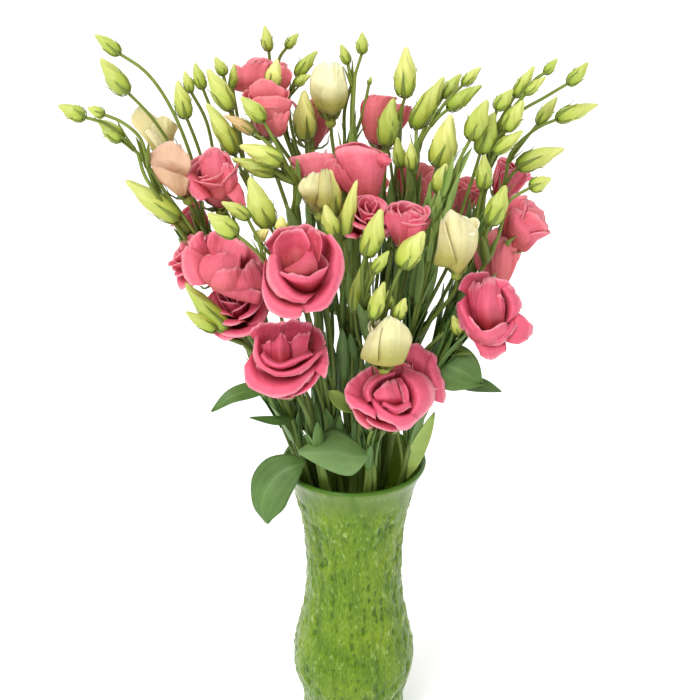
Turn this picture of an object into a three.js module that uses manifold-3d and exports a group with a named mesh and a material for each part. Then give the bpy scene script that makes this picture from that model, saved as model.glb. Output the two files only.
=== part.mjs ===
// A bouquet of pink lisianthus standing in a green pressed-glass vase. Millimetres, +Z up.
// The origin is the middle of the vase's foot, on the surface that it stands on.

import * as THREE from 'three';
import { mergeVertices } from 'three/addons/utils/BufferGeometryUtils.js';
import Module from 'manifold-3d';

const wasm = await Module();
wasm.setup();

// Driving dimensions
const VASE_HEIGHT = 256;
const WALL = 3.4;
const BASE_THICKNESS = 10;
const FLOOR_RADIUS = 38;
const STEM_RADIUS = 2.1;
const STALK_RADIUS = 1.1;
const BLOOM_STALK_RADIUS = 1.3;
const CALYX_RADIUS = 4.2;
const CALYX_LENGTH = 8;
const STALK_SEAT = 3;
const LEAF_THICKNESS = 0.9;
const CLEARANCE = 0.35;

// Facets round each kind of piece
const VASE_FACETS = 24;
const STEM_SIDES = 5;
const STALK_SIDES = 4;
const BUD_SIDES = 5;
const BLOOM_FACETS = 9;

// The viewpoint of the reference picture: its place, its downward tilt and its focal length in picture
// units. A place on the bouquet is written as [picture x, picture y, depth], where depth is the real
// distance in millimetres behind the middle of the vase, negative towards the viewer.
const EYE = new THREE.Vector3(-3.2, -925.6, 763.3);
const EYE_TILT = THREE.MathUtils.degToRad(24);
const FOCAL_LENGTH = 1306;
const PICTURE_MIDDLE = 350;

function place([x, y, depth]) {
  const across = (x - PICTURE_MIDDLE) / FOCAL_LENGTH;
  const up = (PICTURE_MIDDLE - y) / FOCAL_LENGTH;
  const ray = new THREE.Vector3(
    across,
    Math.cos(EYE_TILT) + up * Math.sin(EYE_TILT),
    up * Math.cos(EYE_TILT) - Math.sin(EYE_TILT),
  );
  return EYE.clone().addScaledVector(ray, (depth - EYE.y) / ray.y);
}

// How many millimetres one picture unit spans at a place
function scaleAt(point) {
  const away = point.clone().sub(EYE);
  return (away.y * Math.cos(EYE_TILT) - away.z * Math.sin(EYE_TILT)) / FOCAL_LENGTH;
}

// Outside of the vase: [radius, distance below the rim]
const VASE_OUTLINE = [
  [57.4, 0], [58, 2], [53, 12], [46.5, 34], [41.5, 62], [39.6, 106],
  [42, 134], [50, 174], [51.2, 189], [50, 202], [43.4, 228], [44, 254], [43, 256],
];

// Stems stand in two rings. A ring is its radius on the vase floor, in the waist, under the mouth and in it.
const STEM_FOOT_Z = BASE_THICKNESS + 0.35;
const RING_HEIGHTS = [STEM_FOOT_Z, 150, 208, VASE_HEIGHT];
const OUTER_RING = [33, 31, 35, 46];
const INNER_RING = [21, 18, 20, 28];

// Sprays. bearing is the stem's direction round the vase in degrees from +X. route is the main stem from
// the mouth upwards. A bud is [tip x, tip y, base x, base y, width] in picture units and its depth in
// millimetres, followed by the stalk that carries it down to its fork.
const SPRAYS = {
  far_left: {
    ring: OUTER_RING, bearing: 188,
    route: [[262, 360, -2], [225, 285, -2], [190, 232, -8], [167.5, 196, -14], [148.4, 166.7, -18],
      [134.4, 150, -20], [121.6, 140.5, -20]],
    buds: [
      [[99, 118, 121.6, 140.5, 17, -20]],
      [[58.5, 104.2, 84.6, 118.2, 16, -26], [97.4, 120.8, -26], [111.4, 127.1, -25], [134.4, 150, -20]],
      [[86.6, 109, 103.8, 114.4, 11, -32], [121.6, 122, -31], [139.5, 137.3, -28], [148.4, 166.7, -20]],
      [[125, 180, 180, 220, 22, -14], [190, 232, -8]],
    ],
  },
  peach: {
    ring: OUTER_RING, bearing: 165,
    route: [[262, 370, 10], [232, 300, 8], [207, 240, 5]],
    buds: [
      [[96, 33, 119, 54, 14, 4], [144.6, 71, 5], [167.5, 101.6, 8], [192.4, 161.6, 10], [207, 240, 5]],
      [[97, 61, 128, 92.7, 20, 12], [152.2, 118.2, 14], [178, 160, 20], [200, 215, 12], [212, 252, 6]],
    ],
  },
  left_cup: {
    ring: INNER_RING, bearing: 195,
    route: [[280, 365, -14], [252, 290, -8], [232, 235, 2]],
    buds: [
      [[178, 80.4, 186, 118, 17, 14], [198.4, 148.2, 18], [210, 190, 20], [224, 218, 7]],
      [[186, 70.5, 190.4, 92, 10, 22], [206.4, 121.4, 26], [218, 180, 28], [232, 235, 2]],
      [[193, 63.4, 202.9, 88.4, 12, 24], [217, 126.8, 30], [230, 190, 26], [238, 250, 0]],
    ],
  },
  low_left: {
    ring: OUTER_RING, bearing: 213,
    route: [[285, 400, -45], [262, 365, -52], [243, 343, -56], [228, 330, -58]],
    buds: [
      [[181, 288, 228, 330, 20, -60]],
      [[185, 312, 216, 330, 14, -66], [243, 343, -56]],
    ],
  },
  front_left: {
    ring: OUTER_RING, bearing: 240,
    route: [[312, 425, -60], [298, 396, -68]],
    buds: [
      [[206.6, 213.8, 236.5, 234.8, 20, -96], [249.3, 245, -98], [264.6, 261.6, -92], [277, 300, -66],
        [288, 345, -56], [312, 425, -60]],
      [[222.5, 199.8, 249, 218, 14, -84], [258, 240, -86], [264.6, 261.6, -92]],
    ],
  },
  front_middle: {
    ring: INNER_RING, bearing: 235,
    route: [[328, 400, -42], [318, 350, -56], [308, 315, -70]],
    buds: [
      [[245, 180, 269.7, 227, 25, -58], [286, 255, -60], [304, 300, -60], [318, 350, -56]],
      [[280, 216, 282, 232, 13, -72], [290, 262, -66], [304, 300, -60]],
      [[269, 230, 256, 239, 12, -76], [268, 252, -72], [290, 270, -64]],
    ],
  },
  bud_fan: {
    ring: INNER_RING, bearing: 150,
    route: [[318, 330, 14], [302, 262, 4], [295.7, 219, -8], [297, 185.8, -16], [283, 163, -22]],
    buds: [
      [[240.8, 142.4, 283, 163, 20, -22]],
      [[231, 161, 276.5, 173, 16, -12], [294, 180, -14]],
      [[242, 95.3, 263.8, 120.8, 17, -8], [275.3, 142.4, -10], [296, 180, -15]],
      [[227, 111.6, 253.8, 133, 12, -2], [272, 147, -8], [296, 180, -15]],
      [[211, 101, 235, 154, 19, 4], [250, 190, 8], [278, 232, 8], [302, 262, 4]],
      [[207, 69, 231.4, 110, 20, 12], [240, 150, 14], [252, 196, 10]],
      [[218, 55.4, 223.4, 75, 11.6, 26], [232, 110, 28], [243, 160, 22], [254, 198, 10]],
      [[236.8, 63.4, 231.4, 87.5, 9, 34], [238, 120, 34], [246, 170, 22], [256, 200, 10]],
    ],
  },
  back_left: {
    ring: OUTER_RING, bearing: 140,
    route: [[322, 340, 42], [313, 240, 54], [309, 185, 52], [306, 140, 48]],
    buds: [
      [[300.8, 90.8, 306, 140, 23, 48]],
      [[276.5, 58.3, 271.4, 89, 16, 30], [278, 115, 42], [294, 160, 54], [311, 210, 54]],
      [[263.8, 25.7, 268.9, 50.6, 11.5, 70], [274, 90, 74], [286, 135, 66], [308, 180, 53]],
      [[298, 32.8, 286.7, 47.4, 9.6, 78], [279, 60, 80], [281, 115, 74], [288, 140, 65]],
      [[315.4, 48.7, 297, 76, 13, 58], [289.3, 95.3, 60], [292, 130, 60], [302, 165, 55]],
      [[311, 74.8, 294.4, 83.8, 10, 50], [289.3, 97, 58]],
    ],
  },
  back_middle: {
    ring: OUTER_RING, bearing: 113,
    route: [[348, 330, 40], [350, 250, 46], [350, 190, 48], [351, 142, 48], [351.8, 101.6, 48],
      [354.3, 78.7, 48], [362, 53.2, 48]],
    buds: [
      [[362.6, 32, 362, 53.2, 12, 48]],
      [[340.3, 44.2, 348, 63.4, 10, 48], [353.2, 88, 48]],
      [[371, 76, 369, 84, 4, 54], [363, 112, 52], [350.6, 150, 48]],
      [[367, 160, 367, 170, 8, 70], [362, 200, 60], [350, 250, 46]],
    ],
  },
  centre: {
    ring: INNER_RING, bearing: 272,
    route: [[352, 400, -38], [352, 330, -46], [348, 275, -46], [345, 238, -44]],
    buds: [
      [[350, 180, 345, 238, 15, -44]],
      [[324, 205, 334, 236, 17, -56], [348, 262, -47]],
      [[331, 171, 334, 216, 18, -32], [343, 245, -38], [349, 282, -46]],
    ],
  },
  back_right: {
    ring: OUTER_RING, bearing: 60,
    route: [[383, 330, 38], [391, 240, 46], [397, 160, 48], [401, 112, 46], [405, 97, 44]],
    buds: [
      [[406.8, 47, 405, 97, 22, 44]],
      [[389.6, 97, 386, 146, 21, 26], [392, 175, 38], [393, 215, 47]],
      [[395, 137, 401, 167, 13, 22], [404, 190, 30], [392, 230, 46]],
      [[410, 143, 412, 170, 13, 8], [407, 195, 12], [390, 250, 45]],
    ],
  },
  front_buds: {
    ring: INNER_RING, bearing: 305,
    route: [[374, 405, -36], [372, 360, -54], [364, 300, -72], [362.5, 268, -74], [366, 255, -72]],
    buds: [
      [[384, 209, 366, 256, 22, -72]],
      [[421, 229, 402, 267, 24, -74], [394, 283, -78], [382, 320, -72], [372, 360, -54]],
      [[388, 251, 374, 272, 12, -84], [368, 290, -76], [365, 310, -69]],
      [[381, 282, 373, 318, 16, -88], [371, 335, -72], [371, 352, -57]],
      [[390, 290, 388, 308, 10, -66], [379, 335, -65]],
      [[404, 296.7, 397.4, 319, 13, -82], [386, 335, -70], [372, 362, -53]],
      [[359, 265.5, 354, 312, 13, -62], [359, 340, -56], [372, 368, -51]],
    ],
  },
  front_right: {
    ring: OUTER_RING, bearing: 285,
    route: [[369, 440, -60], [376, 424, -66]],
    buds: [],
  },
  right_fan: {
    ring: INNER_RING, bearing: 25,
    route: [[398, 330, 14], [411, 240, 22], [414, 190, 24], [418, 150, 24], [432.7, 123, 24],
      [448, 109, 24]],
    buds: [
      [[481, 83, 448, 109, 15, 24]],
      [[446, 76, 413, 128, 20, 36], [416, 160, 25]],
      [[460.4, 73, 443, 97, 13, 40], [430, 117, 38], [417, 156, 26]],
      [[481, 66.8, 463, 84.6, 11, 32], [445, 103, 32], [430, 125, 26]],
      [[460.4, 118.6, 436, 166, 27, 6], [430, 190, 14], [411, 240, 22]],
      [[449, 164, 437, 192, 19, -8], [430, 215, 10], [409, 255, 21]],
    ],
  },
  right_middle: {
    ring: INNER_RING, bearing: 345,
    route: [[404, 370, -16], [420, 300, -26], [433, 245, -32], [440, 210, -30], [450.5, 181.7, -24],
      [460, 159, -18], [470, 140, -14]],
    buds: [
      [[487, 98, 470, 139, 21, -14]],
      [[495, 111.4, 480, 153, 21, -4], [470, 186, -8], [450, 240, -20], [427, 278, -28]],
    ],
  },
  far_right: {
    ring: OUTER_RING, bearing: 8,
    route: [[432, 370, 6], [456, 300, 12], [473, 245, 14], [484, 190, 12], [490, 155, 10],
      [498, 125, 10], [514.6, 96.4, 10]],
    buds: [
      [[535.2, 66, 514.6, 96.4, 12.5, 10]],
      [[558.4, 59, 545, 73.2, 9, 18], [534.3, 80.4, 18], [518, 104, 14], [497, 128, 10]],
      [[545.9, 75.9, 525.4, 93.8, 10, 2], [514, 107, 6], [497, 128, 10]],
      [[512.9, 89.3, 496, 109, 14, -2], [491, 130, 4], [489, 160, 10]],
      [[523.6, 100, 505.7, 130.4, 18, -4], [497, 146, 4], [487, 174, 11]],
      [[523.6, 130.4, 494, 152.7, 14, -8], [488, 170, 2], [483, 195, 12]],
      [[590.5, 64.7, 568.2, 83.9, 13.5, 26], [543.2, 98.2, 26], [520, 112, 22], [493, 142, 11]],
      [[596.8, 100.9, 556.6, 119.6, 16, 34], [536, 129, 34], [511, 153, 34], [505, 180, 32],
        [488, 235, 26], [456, 300, 12]],
      [[557.5, 96.4, 538, 124, 13, 42], [524, 141, 38], [509, 162, 33]],
      [[562.9, 144.6, 517, 167, 20, 12], [508, 180, 20], [500, 205, 27]],
    ],
  },
  right_low: {
    ring: OUTER_RING, bearing: 330,
    route: [[420, 385, -34], [448, 335, -34], [468, 302, -28], [480, 272, -20], [486, 262, -22]],
    buds: [
      [[510, 187, 489, 224, 21, -26], [485, 240, -26], [487, 262, -22]],
      [[552, 180, 530, 187, 15, -20], [509, 202, -22], [498, 238, -22], [487, 262, -22]],
      [[489, 155, 482, 189, 17, -12], [477, 225, -14], [482, 262, -20]],
      [[452, 316, 460, 333, 12, -50], [456, 348, -44], [440, 352, -34]],
    ],
  },
  back: {
    ring: OUTER_RING, bearing: 88,
    route: [[352, 340, 66], [348, 315, 78]],
    buds: [
      [[372, 262, 366, 284, 14, 96], [358, 310, 84], [350, 330, 70]],
    ],
  },
};

// Blooms. centre is the middle of the bloom, facing the direction that it opens in, size its width and its
// height in millimetres. stalk joins its calyx to the spray.
const PINK_BLOOMS = {
  top_left: { spray: 'back_left', centre: [262, 82, 62], facing: [-0.15, 0.35, 0.93], size: [52, 36],
    stalk: [[308, 182, 53]] },
  upper_left: { spray: 'bud_fan', centre: [267, 112, 24], facing: [0, -0.35, 0.94], size: [46, 40],
    stalk: [[288, 210, 18], [304, 262, 5]] },
  upper_hidden: { spray: 'back_middle', centre: [313, 124, 78], facing: [0.1, 0.35, 0.93], size: [42, 36],
    stalk: [[350, 232, 47]] },
  middle: { spray: 'centre', centre: [362, 176, -6], facing: [0.12, -0.12, 0.98], size: [44, 42],
    stalk: [[356, 280, -22], [352, 330, -46]] },
  middle_left: { spray: 'centre', centre: [316, 178, 6], facing: [-0.5, 0.1, 0.86], size: [46, 38],
    stalk: [[348, 280, -20], [352, 340, -44]] },
  upper_right: { spray: 'back_right', centre: [384, 123, 64], facing: [0.05, 0.2, 0.98], size: [40, 38],
    stalk: [[391, 240, 46]] },
  front_middle: { spray: 'front_middle', centre: [303, 277, -104], facing: [0.06, -0.68, 0.73],
    size: [62, 42], stalk: [] },
  left: { spray: 'low_left', centre: [235, 266, -52], facing: [0.05, -0.72, 0.69], size: [54, 38],
    stalk: [[250, 315, -26], [272, 380, -46]] },
  left_side: { spray: 'low_left', centre: [198, 263, -22], facing: [-0.72, -0.3, 0.63], size: [46, 34],
    stalk: [[240, 318, -20], [270, 378, -45]] },
  left_lower: { spray: 'low_left', centre: [238, 310, -48], facing: [-0.2, -0.55, 0.81], size: [50, 30],
    stalk: [[272, 380, -48]] },
  left_behind: { spray: 'peach', centre: [196, 226, 24], facing: [-0.6, 0.2, 0.77], size: [34, 30],
    stalk: [[232, 300, 8]] },
  left_cup: { spray: 'left_cup', centre: [216, 183, -8], facing: [-0.1, -0.4, 0.91], size: [46, 42],
    stalk: [] },
  deep_red: { spray: 'front_buds', centre: [366, 220, -34], facing: [0, -0.5, 0.87], size: [40, 28],
    stalk: [[370, 320, -44], [373, 380, -46]] },
  middle_right: { spray: 'front_buds', centre: [407, 226, -36], facing: [0.15, -0.2, 0.97], size: [38, 34],
    stalk: [[390, 330, -42], [374, 400, -38]] },
  front_left: { spray: 'front_left', centre: [285, 366, -98], facing: [-0.04, -0.62, 0.78], size: [62, 40],
    stalk: [] },
  right_hidden: { spray: 'far_right', centre: [509, 182, 52], facing: [0.5, 0.3, 0.81], size: [34, 30],
    stalk: [[476, 262, 22], [456, 300, 12]] },
  right_side: { spray: 'right_low', centre: [523, 227, -2], facing: [0.72, -0.05, 0.69], size: [42, 38],
    stalk: [[488, 284, -10], [464, 308, -29]] },
  right_behind: { spray: 'right_low', centre: [497, 259, 4], facing: [0.3, 0.25, 0.92], size: [44, 38],
    stalk: [[450, 335, -34]] },
  right: { spray: 'right_low', centre: [489, 318, -56], facing: [0.2, -0.82, 0.54], size: [56, 38],
    stalk: [[448, 337, -34]] },
  front_right: { spray: 'front_right', centre: [385, 401, -88], facing: [0.22, -0.55, 0.8], size: [64, 36],
    stalk: [] },
  right_of_front: { spray: 'front_right', centre: [424, 378, -56], facing: [0.5, -0.2, 0.84],
    size: [44, 32], stalk: [[369, 444, -58]] },
  narrow_right: { spray: 'back_right', centre: [416, 186, 44], facing: [0.1, 0.05, 0.99], size: [30, 36],
    stalk: [[385, 310, 40]] },
  far_behind: { spray: 'right_fan', centre: [461, 200, 34], facing: [0.3, 0.1, 0.95], size: [34, 32],
    stalk: [[405, 285, 19]] },
  back_low: { spray: 'back', centre: [306, 268, 116], facing: [-0.35, 0.7, 0.62], size: [54, 36],
    stalk: [] },
  back_high: { spray: 'back', centre: [364, 196, 104], facing: [0.2, 0.6, 0.77], size: [50, 38],
    stalk: [[358, 262, 96], [352, 340, 66]] },
};

const CREAM_BLOOMS = {
  khaki: { spray: 'peach', centre: [157, 136, 30], facing: [-0.5, -0.1, 0.86], size: [30, 36],
    stalk: [[212, 252, 6]] },
  peach: { spray: 'peach', centre: [174, 172, -8], facing: [-0.35, -0.15, 0.92], size: [32, 40],
    stalk: [] },
  tall_cream: { spray: 'back_middle', centre: [329, 91, 52], facing: [-0.05, -0.1, 0.99], size: [29, 42],
    stalk: [[342, 200, 54], [350, 258, 46]] },
  folded_cream: { spray: 'centre', centre: [312, 190, -40], facing: [-0.25, -0.2, 0.95], size: [24, 34],
    stalk: [[348, 280, -46]] },
  yellow_right: { spray: 'right_middle', centre: [459, 244, -46], facing: [0.02, -0.15, 0.99],
    size: [34, 42], stalk: [[410, 345, -21]] },
  yellow_front: { spray: 'front_right', centre: [386, 343, -80], facing: [0.05, -0.1, 0.99], size: [36, 36],
    stalk: [[388, 395, -58], [369, 444, -58]] },
};

// Leaves. line is the middle of the blade to its tip, width the widest measure in millimetres, face the
// way that its upper side looks. The foot of the line is moved to the nearest main stem.
const LEAVES = {
  over_rim: { line: [[306, 466, -36], [293, 472, -50], [277, 488, -62], [268, 506, -66], [270, 522, -66]],
    width: 38, face: [-0.55, -0.7, 0.45] },
  grey_front: { line: [[368, 462, -60], [350, 454, -68], [326, 449, -74], [300, 452, -80]],
    width: 33, face: [0.05, -0.75, 0.66] },
  twisted_left: { line: [[276, 388, -50], [253, 390, -62], [231, 397, -70], [212, 412, -72]],
    width: 13, face: [-0.2, -0.6, 0.77] },
  short_left: { line: [[299, 424, -50], [278, 421, -58], [250, 418, -66]], width: 8, face: [0, -0.5, 0.87] },
  round_right: { line: [[434, 360, -34], [449, 366, -42], [466, 374, -46], [481, 384, -46]],
    width: 32, face: [0.1, -0.8, 0.6] },
  pointed_right: { line: [[430, 368, -34], [462, 382, -32], [483, 386, -32], [501, 392, -32]],
    width: 13, face: [0.1, -0.5, 0.86] },
  pale_sheath: { line: [[404, 478, -18], [413, 458, -26], [424, 434, -32], [434, 412, -36]],
    width: 13, face: [0.3, -0.9, 0.3] },
  dark_blade: { line: [[394, 372, 8], [410, 330, 2], [422, 296, 0], [431, 268, 0]],
    width: 15, face: [0.3, -0.9, 0.3] },
  lime_shoot: { line: [[352, 412, -38], [344, 404, -48], [334, 396, -54], [328, 391, -56]],
    width: 11, face: [0, -0.7, 0.7] },
  back_leaf: { line: [[360, 380, 50], [352, 378, 78], [344, 384, 100], [340, 400, 112]],
    width: 30, face: [0, 0.7, 0.7] },
};

const PINK = new THREE.MeshStandardMaterial({ color: 0xde466e, roughness: 0.6, metalness: 0 });
const CREAM = new THREE.MeshStandardMaterial({ color: 0xefe6b0, roughness: 0.6, metalness: 0 });
const STEM_GREEN = new THREE.MeshStandardMaterial({ color: 0x7ea53c, roughness: 0.5, metalness: 0 });
const LEAF_GREEN = new THREE.MeshStandardMaterial({ color: 0x4f7d49, roughness: 0.5, metalness: 0 });
const GREEN_GLASS = new THREE.MeshStandardMaterial({ color: 0x86ad3d, roughness: 0.08, metalness: 0 });

// A closed geometry as a solid: shared vertices merged, collapsed triangles dropped
function toSolid(geometry) {
  const bare = geometry.clone();
  bare.deleteAttribute('normal');
  bare.deleteAttribute('uv');
  const merged = mergeVertices(bare, 1e-4);
  const corners = Array.from(merged.index.array);
  const kept = [];
  for (let i = 0; i < corners.length; i += 3) {
    const [a, b, c] = corners.slice(i, i + 3);
    if (a !== b && b !== c && c !== a) {
      kept.push(a, b, c);
    }
  }
  const mesh = new wasm.Mesh({
    numProp: 3,
    vertProperties: new Float32Array(merged.attributes.position.array),
    triVerts: new Uint32Array(kept),
  });
  return new wasm.Manifold(mesh);
}

function toGeometry(solid) {
  const mesh = solid.getMesh();
  const geometry = new THREE.BufferGeometry();
  geometry.setAttribute('position', new THREE.BufferAttribute(mesh.vertProperties, 3));
  geometry.setIndex(new THREE.BufferAttribute(mesh.triVerts, 1));
  geometry.computeVertexNormals();
  return geometry;
}

function join(solids) {
  return solids.reduce((whole, solid) => whole.add(solid));
}

function largestPart(solid) {
  const parts = solid.decompose();
  return parts.reduce((best, part) => (part.volume() > best.volume() ? part : best));
}

// A round tube along a smooth line through the points, in so many straight stretches
function tube(points, radius, sides, stretches) {
  const section = new THREE.Shape();
  for (let i = 0; i < sides; i += 1) {
    const angle = (2 * Math.PI * i) / sides;
    const corner = [radius * Math.cos(angle), radius * Math.sin(angle)];
    if (i === 0) {
      section.moveTo(...corner);
    } else {
      section.lineTo(...corner);
    }
  }
  return toSolid(new THREE.ExtrudeGeometry(section, {
    steps: stretches,
    extrudePath: new THREE.CatmullRomCurve3(points),
  }));
}

// The middle line of such a tube, as straight stretches
function middleLine(points, stretches) {
  return new THREE.CatmullRomCurve3(points).getSpacedPoints(stretches);
}

// The nearest place to a point on any of the middle lines
function nearestOn(lines, point) {
  let best = null;
  for (const line of lines) {
    for (let i = 1; i < line.length; i += 1) {
      const here = new THREE.Line3(line[i - 1], line[i]).closestPointToPoint(point, true, new THREE.Vector3());
      if (!best || here.distanceTo(point) < best.distanceTo(point)) {
        best = here;
      }
    }
  }
  return best;
}

// A turned shape: its outline is [radius, height] and its axis runs from a point along a direction
function turned(outline, from, direction, facets) {
  const geometry = new THREE.LatheGeometry(outline.map((p) => new THREE.Vector2(...p)), facets);
  const turn = new THREE.Quaternion().setFromUnitVectors(new THREE.Vector3(0, 1, 0), direction);
  geometry.applyQuaternion(turn);
  geometry.translate(from.x, from.y, from.z);
  return toSolid(geometry);
}

function vase() {
  const outside = VASE_OUTLINE.map(([radius, drop]) => [radius, VASE_HEIGHT - drop]).reverse();
  const inside = VASE_OUTLINE.slice(0, -2)
    .filter(([, drop]) => drop !== 2)
    .map(([radius, drop]) => [radius - WALL, VASE_HEIGHT - drop])
    .filter(([, z]) => z > BASE_THICKNESS + 4);
  const outline = [[0, 0], ...outside, ...inside, [FLOOR_RADIUS, BASE_THICKNESS], [0, BASE_THICKNESS]];
  return turned(outline, new THREE.Vector3(), new THREE.Vector3(0, 1, 0), VASE_FACETS)
    .rotate([90, 0, 0]);
}

// A closed bud: swollen low down and drawn out to a blunt tip
function bud([tipX, tipY, baseX, baseY, width, depth], grown) {
  const base = place([baseX, baseY, depth]);
  const tip = place([tipX, tipY, depth]);
  const axis = tip.clone().sub(base);
  const length = axis.length();
  const radius = (width * scaleAt(base)) / 2;
  const outline = [
    [0, -1 - grown],
    [radius + grown, 0.32 * length],
    [0.66 * radius + grown, 0.68 * length],
    [0, length + grown],
  ];
  return turned(outline, base, axis.normalize(), BUD_SIDES);
}

function stemPoints({ ring, bearing, route }) {
  const angle = THREE.MathUtils.degToRad(bearing);
  const below = ring.map((radius, i) => new THREE.Vector3(
    radius * Math.cos(angle), radius * Math.sin(angle), RING_HEIGHTS[i],
  ));
  return [...below, ...route.map(place)];
}

function bloomBase({ centre, facing, size }) {
  const axis = new THREE.Vector3(...facing).normalize();
  return { axis, base: place(centre).addScaledVector(axis, -size[1] / 2) };
}

// The green cup under a bloom
function calyx(foot, axis, grown) {
  return turned([
    [0, -1.5 - grown], [CALYX_RADIUS + grown, CALYX_LENGTH], [0, CALYX_LENGTH + grown],
  ], foot, axis, BUD_SIDES);
}

// A main stem with its buds, its calyces and the stalks that carry them. Every stalk ends on the nearest
// stem or stalk of its spray that is already there.
function spray(name, grown = 0) {
  const plan = SPRAYS[name];
  const stem = stemPoints(plan);
  const solids = [tube(stem, STEM_RADIUS + grown, STEM_SIDES, stem.length - 1)];
  const lines = [middleLine(stem, stem.length - 1)];
  const addStalk = (points, radius) => {
    const route = [...points.slice(0, -1), nearestOn(lines, points[points.length - 1])];
    const stretches = 2 * (route.length - 1);
    solids.push(tube(route, radius + grown, STALK_SIDES, stretches));
    lines.push(middleLine(route, stretches));
  };
  for (const bloom of [...Object.values(PINK_BLOOMS), ...Object.values(CREAM_BLOOMS)]) {
    if (bloom.spray === name) {
      const { axis, base } = bloomBase(bloom);
      const foot = base.clone().addScaledVector(axis, -CALYX_LENGTH);
      const inside = foot.clone().addScaledVector(axis, STALK_SEAT);
      const down = foot.clone().addScaledVector(axis, -CALYX_LENGTH);
      const stalk = bloom.stalk.length ? bloom.stalk.map(place) : [stem[stem.length - 1]];
      solids.push(calyx(foot, axis, grown));
      addStalk([inside, down, ...stalk], BLOOM_STALK_RADIUS);
    }
  }
  for (const [shape, ...stalk] of plan.buds) {
    const [tipX, tipY, baseX, baseY, , depth] = shape;
    solids.push(bud(shape, grown));
    if (stalk.length) {
      const inside = place([baseX, baseY, depth]).lerp(place([tipX, tipY, depth]), 0.2);
      addStalk([inside, ...stalk.map(place)], STALK_RADIUS);
    }
  }
  return join(solids);
}

// An open bloom: a flared cup whose packed petals fill it almost to the brim
function openBloom(bloom, grown = 0) {
  const { axis, base } = bloomBase(bloom);
  const radius = bloom.size[0] / 2;
  const height = bloom.size[1];
  const outline = [
    [0, -grown], [CALYX_RADIUS + grown, 0], [0.72 * radius + grown, 0.35 * height],
    [radius + grown, 0.84 * height], [0.6 * radius, height + grown], [0, 0.9 * height + grown],
  ];
  return turned(outline, base, axis, BLOOM_FACETS);
}

// A half-open bloom: a tall urn of rolled petals
function halfOpenBloom(bloom, grown = 0) {
  const { axis, base } = bloomBase(bloom);
  const radius = bloom.size[0] / 2;
  const height = bloom.size[1];
  const outline = [
    [0, -grown], [CALYX_RADIUS + grown, 0], [radius + grown, 0.45 * height],
    [0.7 * radius + grown, height], [0, 0.92 * height + grown],
  ];
  return turned(outline, base, axis, BLOOM_FACETS);
}

// A leaf: a thin blade along its middle line, a little hollow along the midrib, closed all round
function leaf({ line, width, face }) {
  const mainStems = Object.values(SPRAYS).map(stemPoints).map((stem) => middleLine(stem, stem.length - 1));
  const [foot, ...blade] = line.map(place);
  const curve = new THREE.CatmullRomCurve3([nearestOn(mainStems, foot), ...blade]);
  const rows = 5;
  const positions = [];
  for (let i = 0; i <= rows; i += 1) {
    const t = i / rows;
    const middle = curve.getPoint(t);
    const along = curve.getTangent(t);
    const across = new THREE.Vector3(...face).cross(along).normalize();
    const up = along.clone().cross(across).normalize();
    const half = 1 + (width / 2) * Math.sin(Math.PI * (0.08 + 0.88 * t)) ** 0.8;
    for (const side of [-1, 0, 1]) {
      for (const skin of [1, 0]) {
        const lift = 0.12 * half * Math.abs(side) + skin * LEAF_THICKNESS;
        positions.push(...middle.clone().addScaledVector(across, side * half).addScaledVector(up, lift));
      }
    }
  }
  const corners = [];
  const quad = (a, b, c, d) => corners.push(a, c, b, a, d, c);
  const at = (row, column, skin) => row * 6 + column * 2 + skin;
  for (let row = 0; row < rows; row += 1) {
    for (const column of [0, 1]) {
      quad(at(row, column, 0), at(row, column + 1, 0), at(row + 1, column + 1, 0), at(row + 1, column, 0));
      quad(at(row, column, 1), at(row + 1, column, 1), at(row + 1, column + 1, 1), at(row, column + 1, 1));
    }
    quad(at(row, 0, 0), at(row + 1, 0, 0), at(row + 1, 0, 1), at(row, 0, 1));
    quad(at(row, 2, 0), at(row, 2, 1), at(row + 1, 2, 1), at(row + 1, 2, 0));
  }
  for (const column of [0, 1]) {
    quad(at(0, column, 0), at(0, column, 1), at(0, column + 1, 1), at(0, column + 1, 0));
    quad(at(rows, column, 0), at(rows, column + 1, 0), at(rows, column + 1, 1), at(rows, column, 1));
  }
  return new wasm.Manifold(new wasm.Mesh({
    numProp: 3,
    vertProperties: new Float32Array(positions),
    triVerts: new Uint32Array(corners),
  }));
}

const group = new THREE.Group();

function addPiece(name, solid, material) {
  const mesh = new THREE.Mesh(toGeometry(solid), material);
  mesh.name = name;
  group.add(mesh);
}

// Soft pieces give way to what they press against: each is cut back by the pieces already placed, which
// are passed here slightly swollen, so that a small clearance stays between them.
const placed = [];

function boxesMeet(a, b) {
  const first = a.boundingBox();
  const second = b.boundingBox();
  return [0, 1, 2].every((i) => first.min[i] <= second.max[i] && second.min[i] <= first.max[i]);
}

function giveWay(solid) {
  let rest = solid;
  for (const other of placed) {
    if (boxesMeet(rest, other) && rest.intersect(other).volume() > 0) {
      rest = rest.subtract(other);
    }
  }
  return largestPart(rest);
}

addPiece('vase', vase(), GREEN_GLASS);

for (const name of Object.keys(SPRAYS)) {
  addPiece(`spray_${name}`, spray(name), STEM_GREEN);
  placed.push(spray(name, CLEARANCE));
}

for (const [name, bloom] of Object.entries(PINK_BLOOMS)) {
  addPiece(`bloom_${name}`, giveWay(openBloom(bloom)), PINK);
  placed.push(openBloom(bloom, CLEARANCE));
}

for (const [name, bloom] of Object.entries(CREAM_BLOOMS)) {
  addPiece(`bloom_${name}`, giveWay(halfOpenBloom(bloom)), CREAM);
  placed.push(halfOpenBloom(bloom, CLEARANCE));
}

for (const [name, shape] of Object.entries(LEAVES)) {
  addPiece(`leaf_${name}`, giveWay(leaf(shape)), LEAF_GREEN);
}

export default group;
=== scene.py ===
# A bouquet of pink lisianthus in a green pressed-glass vase. Everything is in metres, +Z up, with the
# origin in the middle of the vase's foot.
import math

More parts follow.
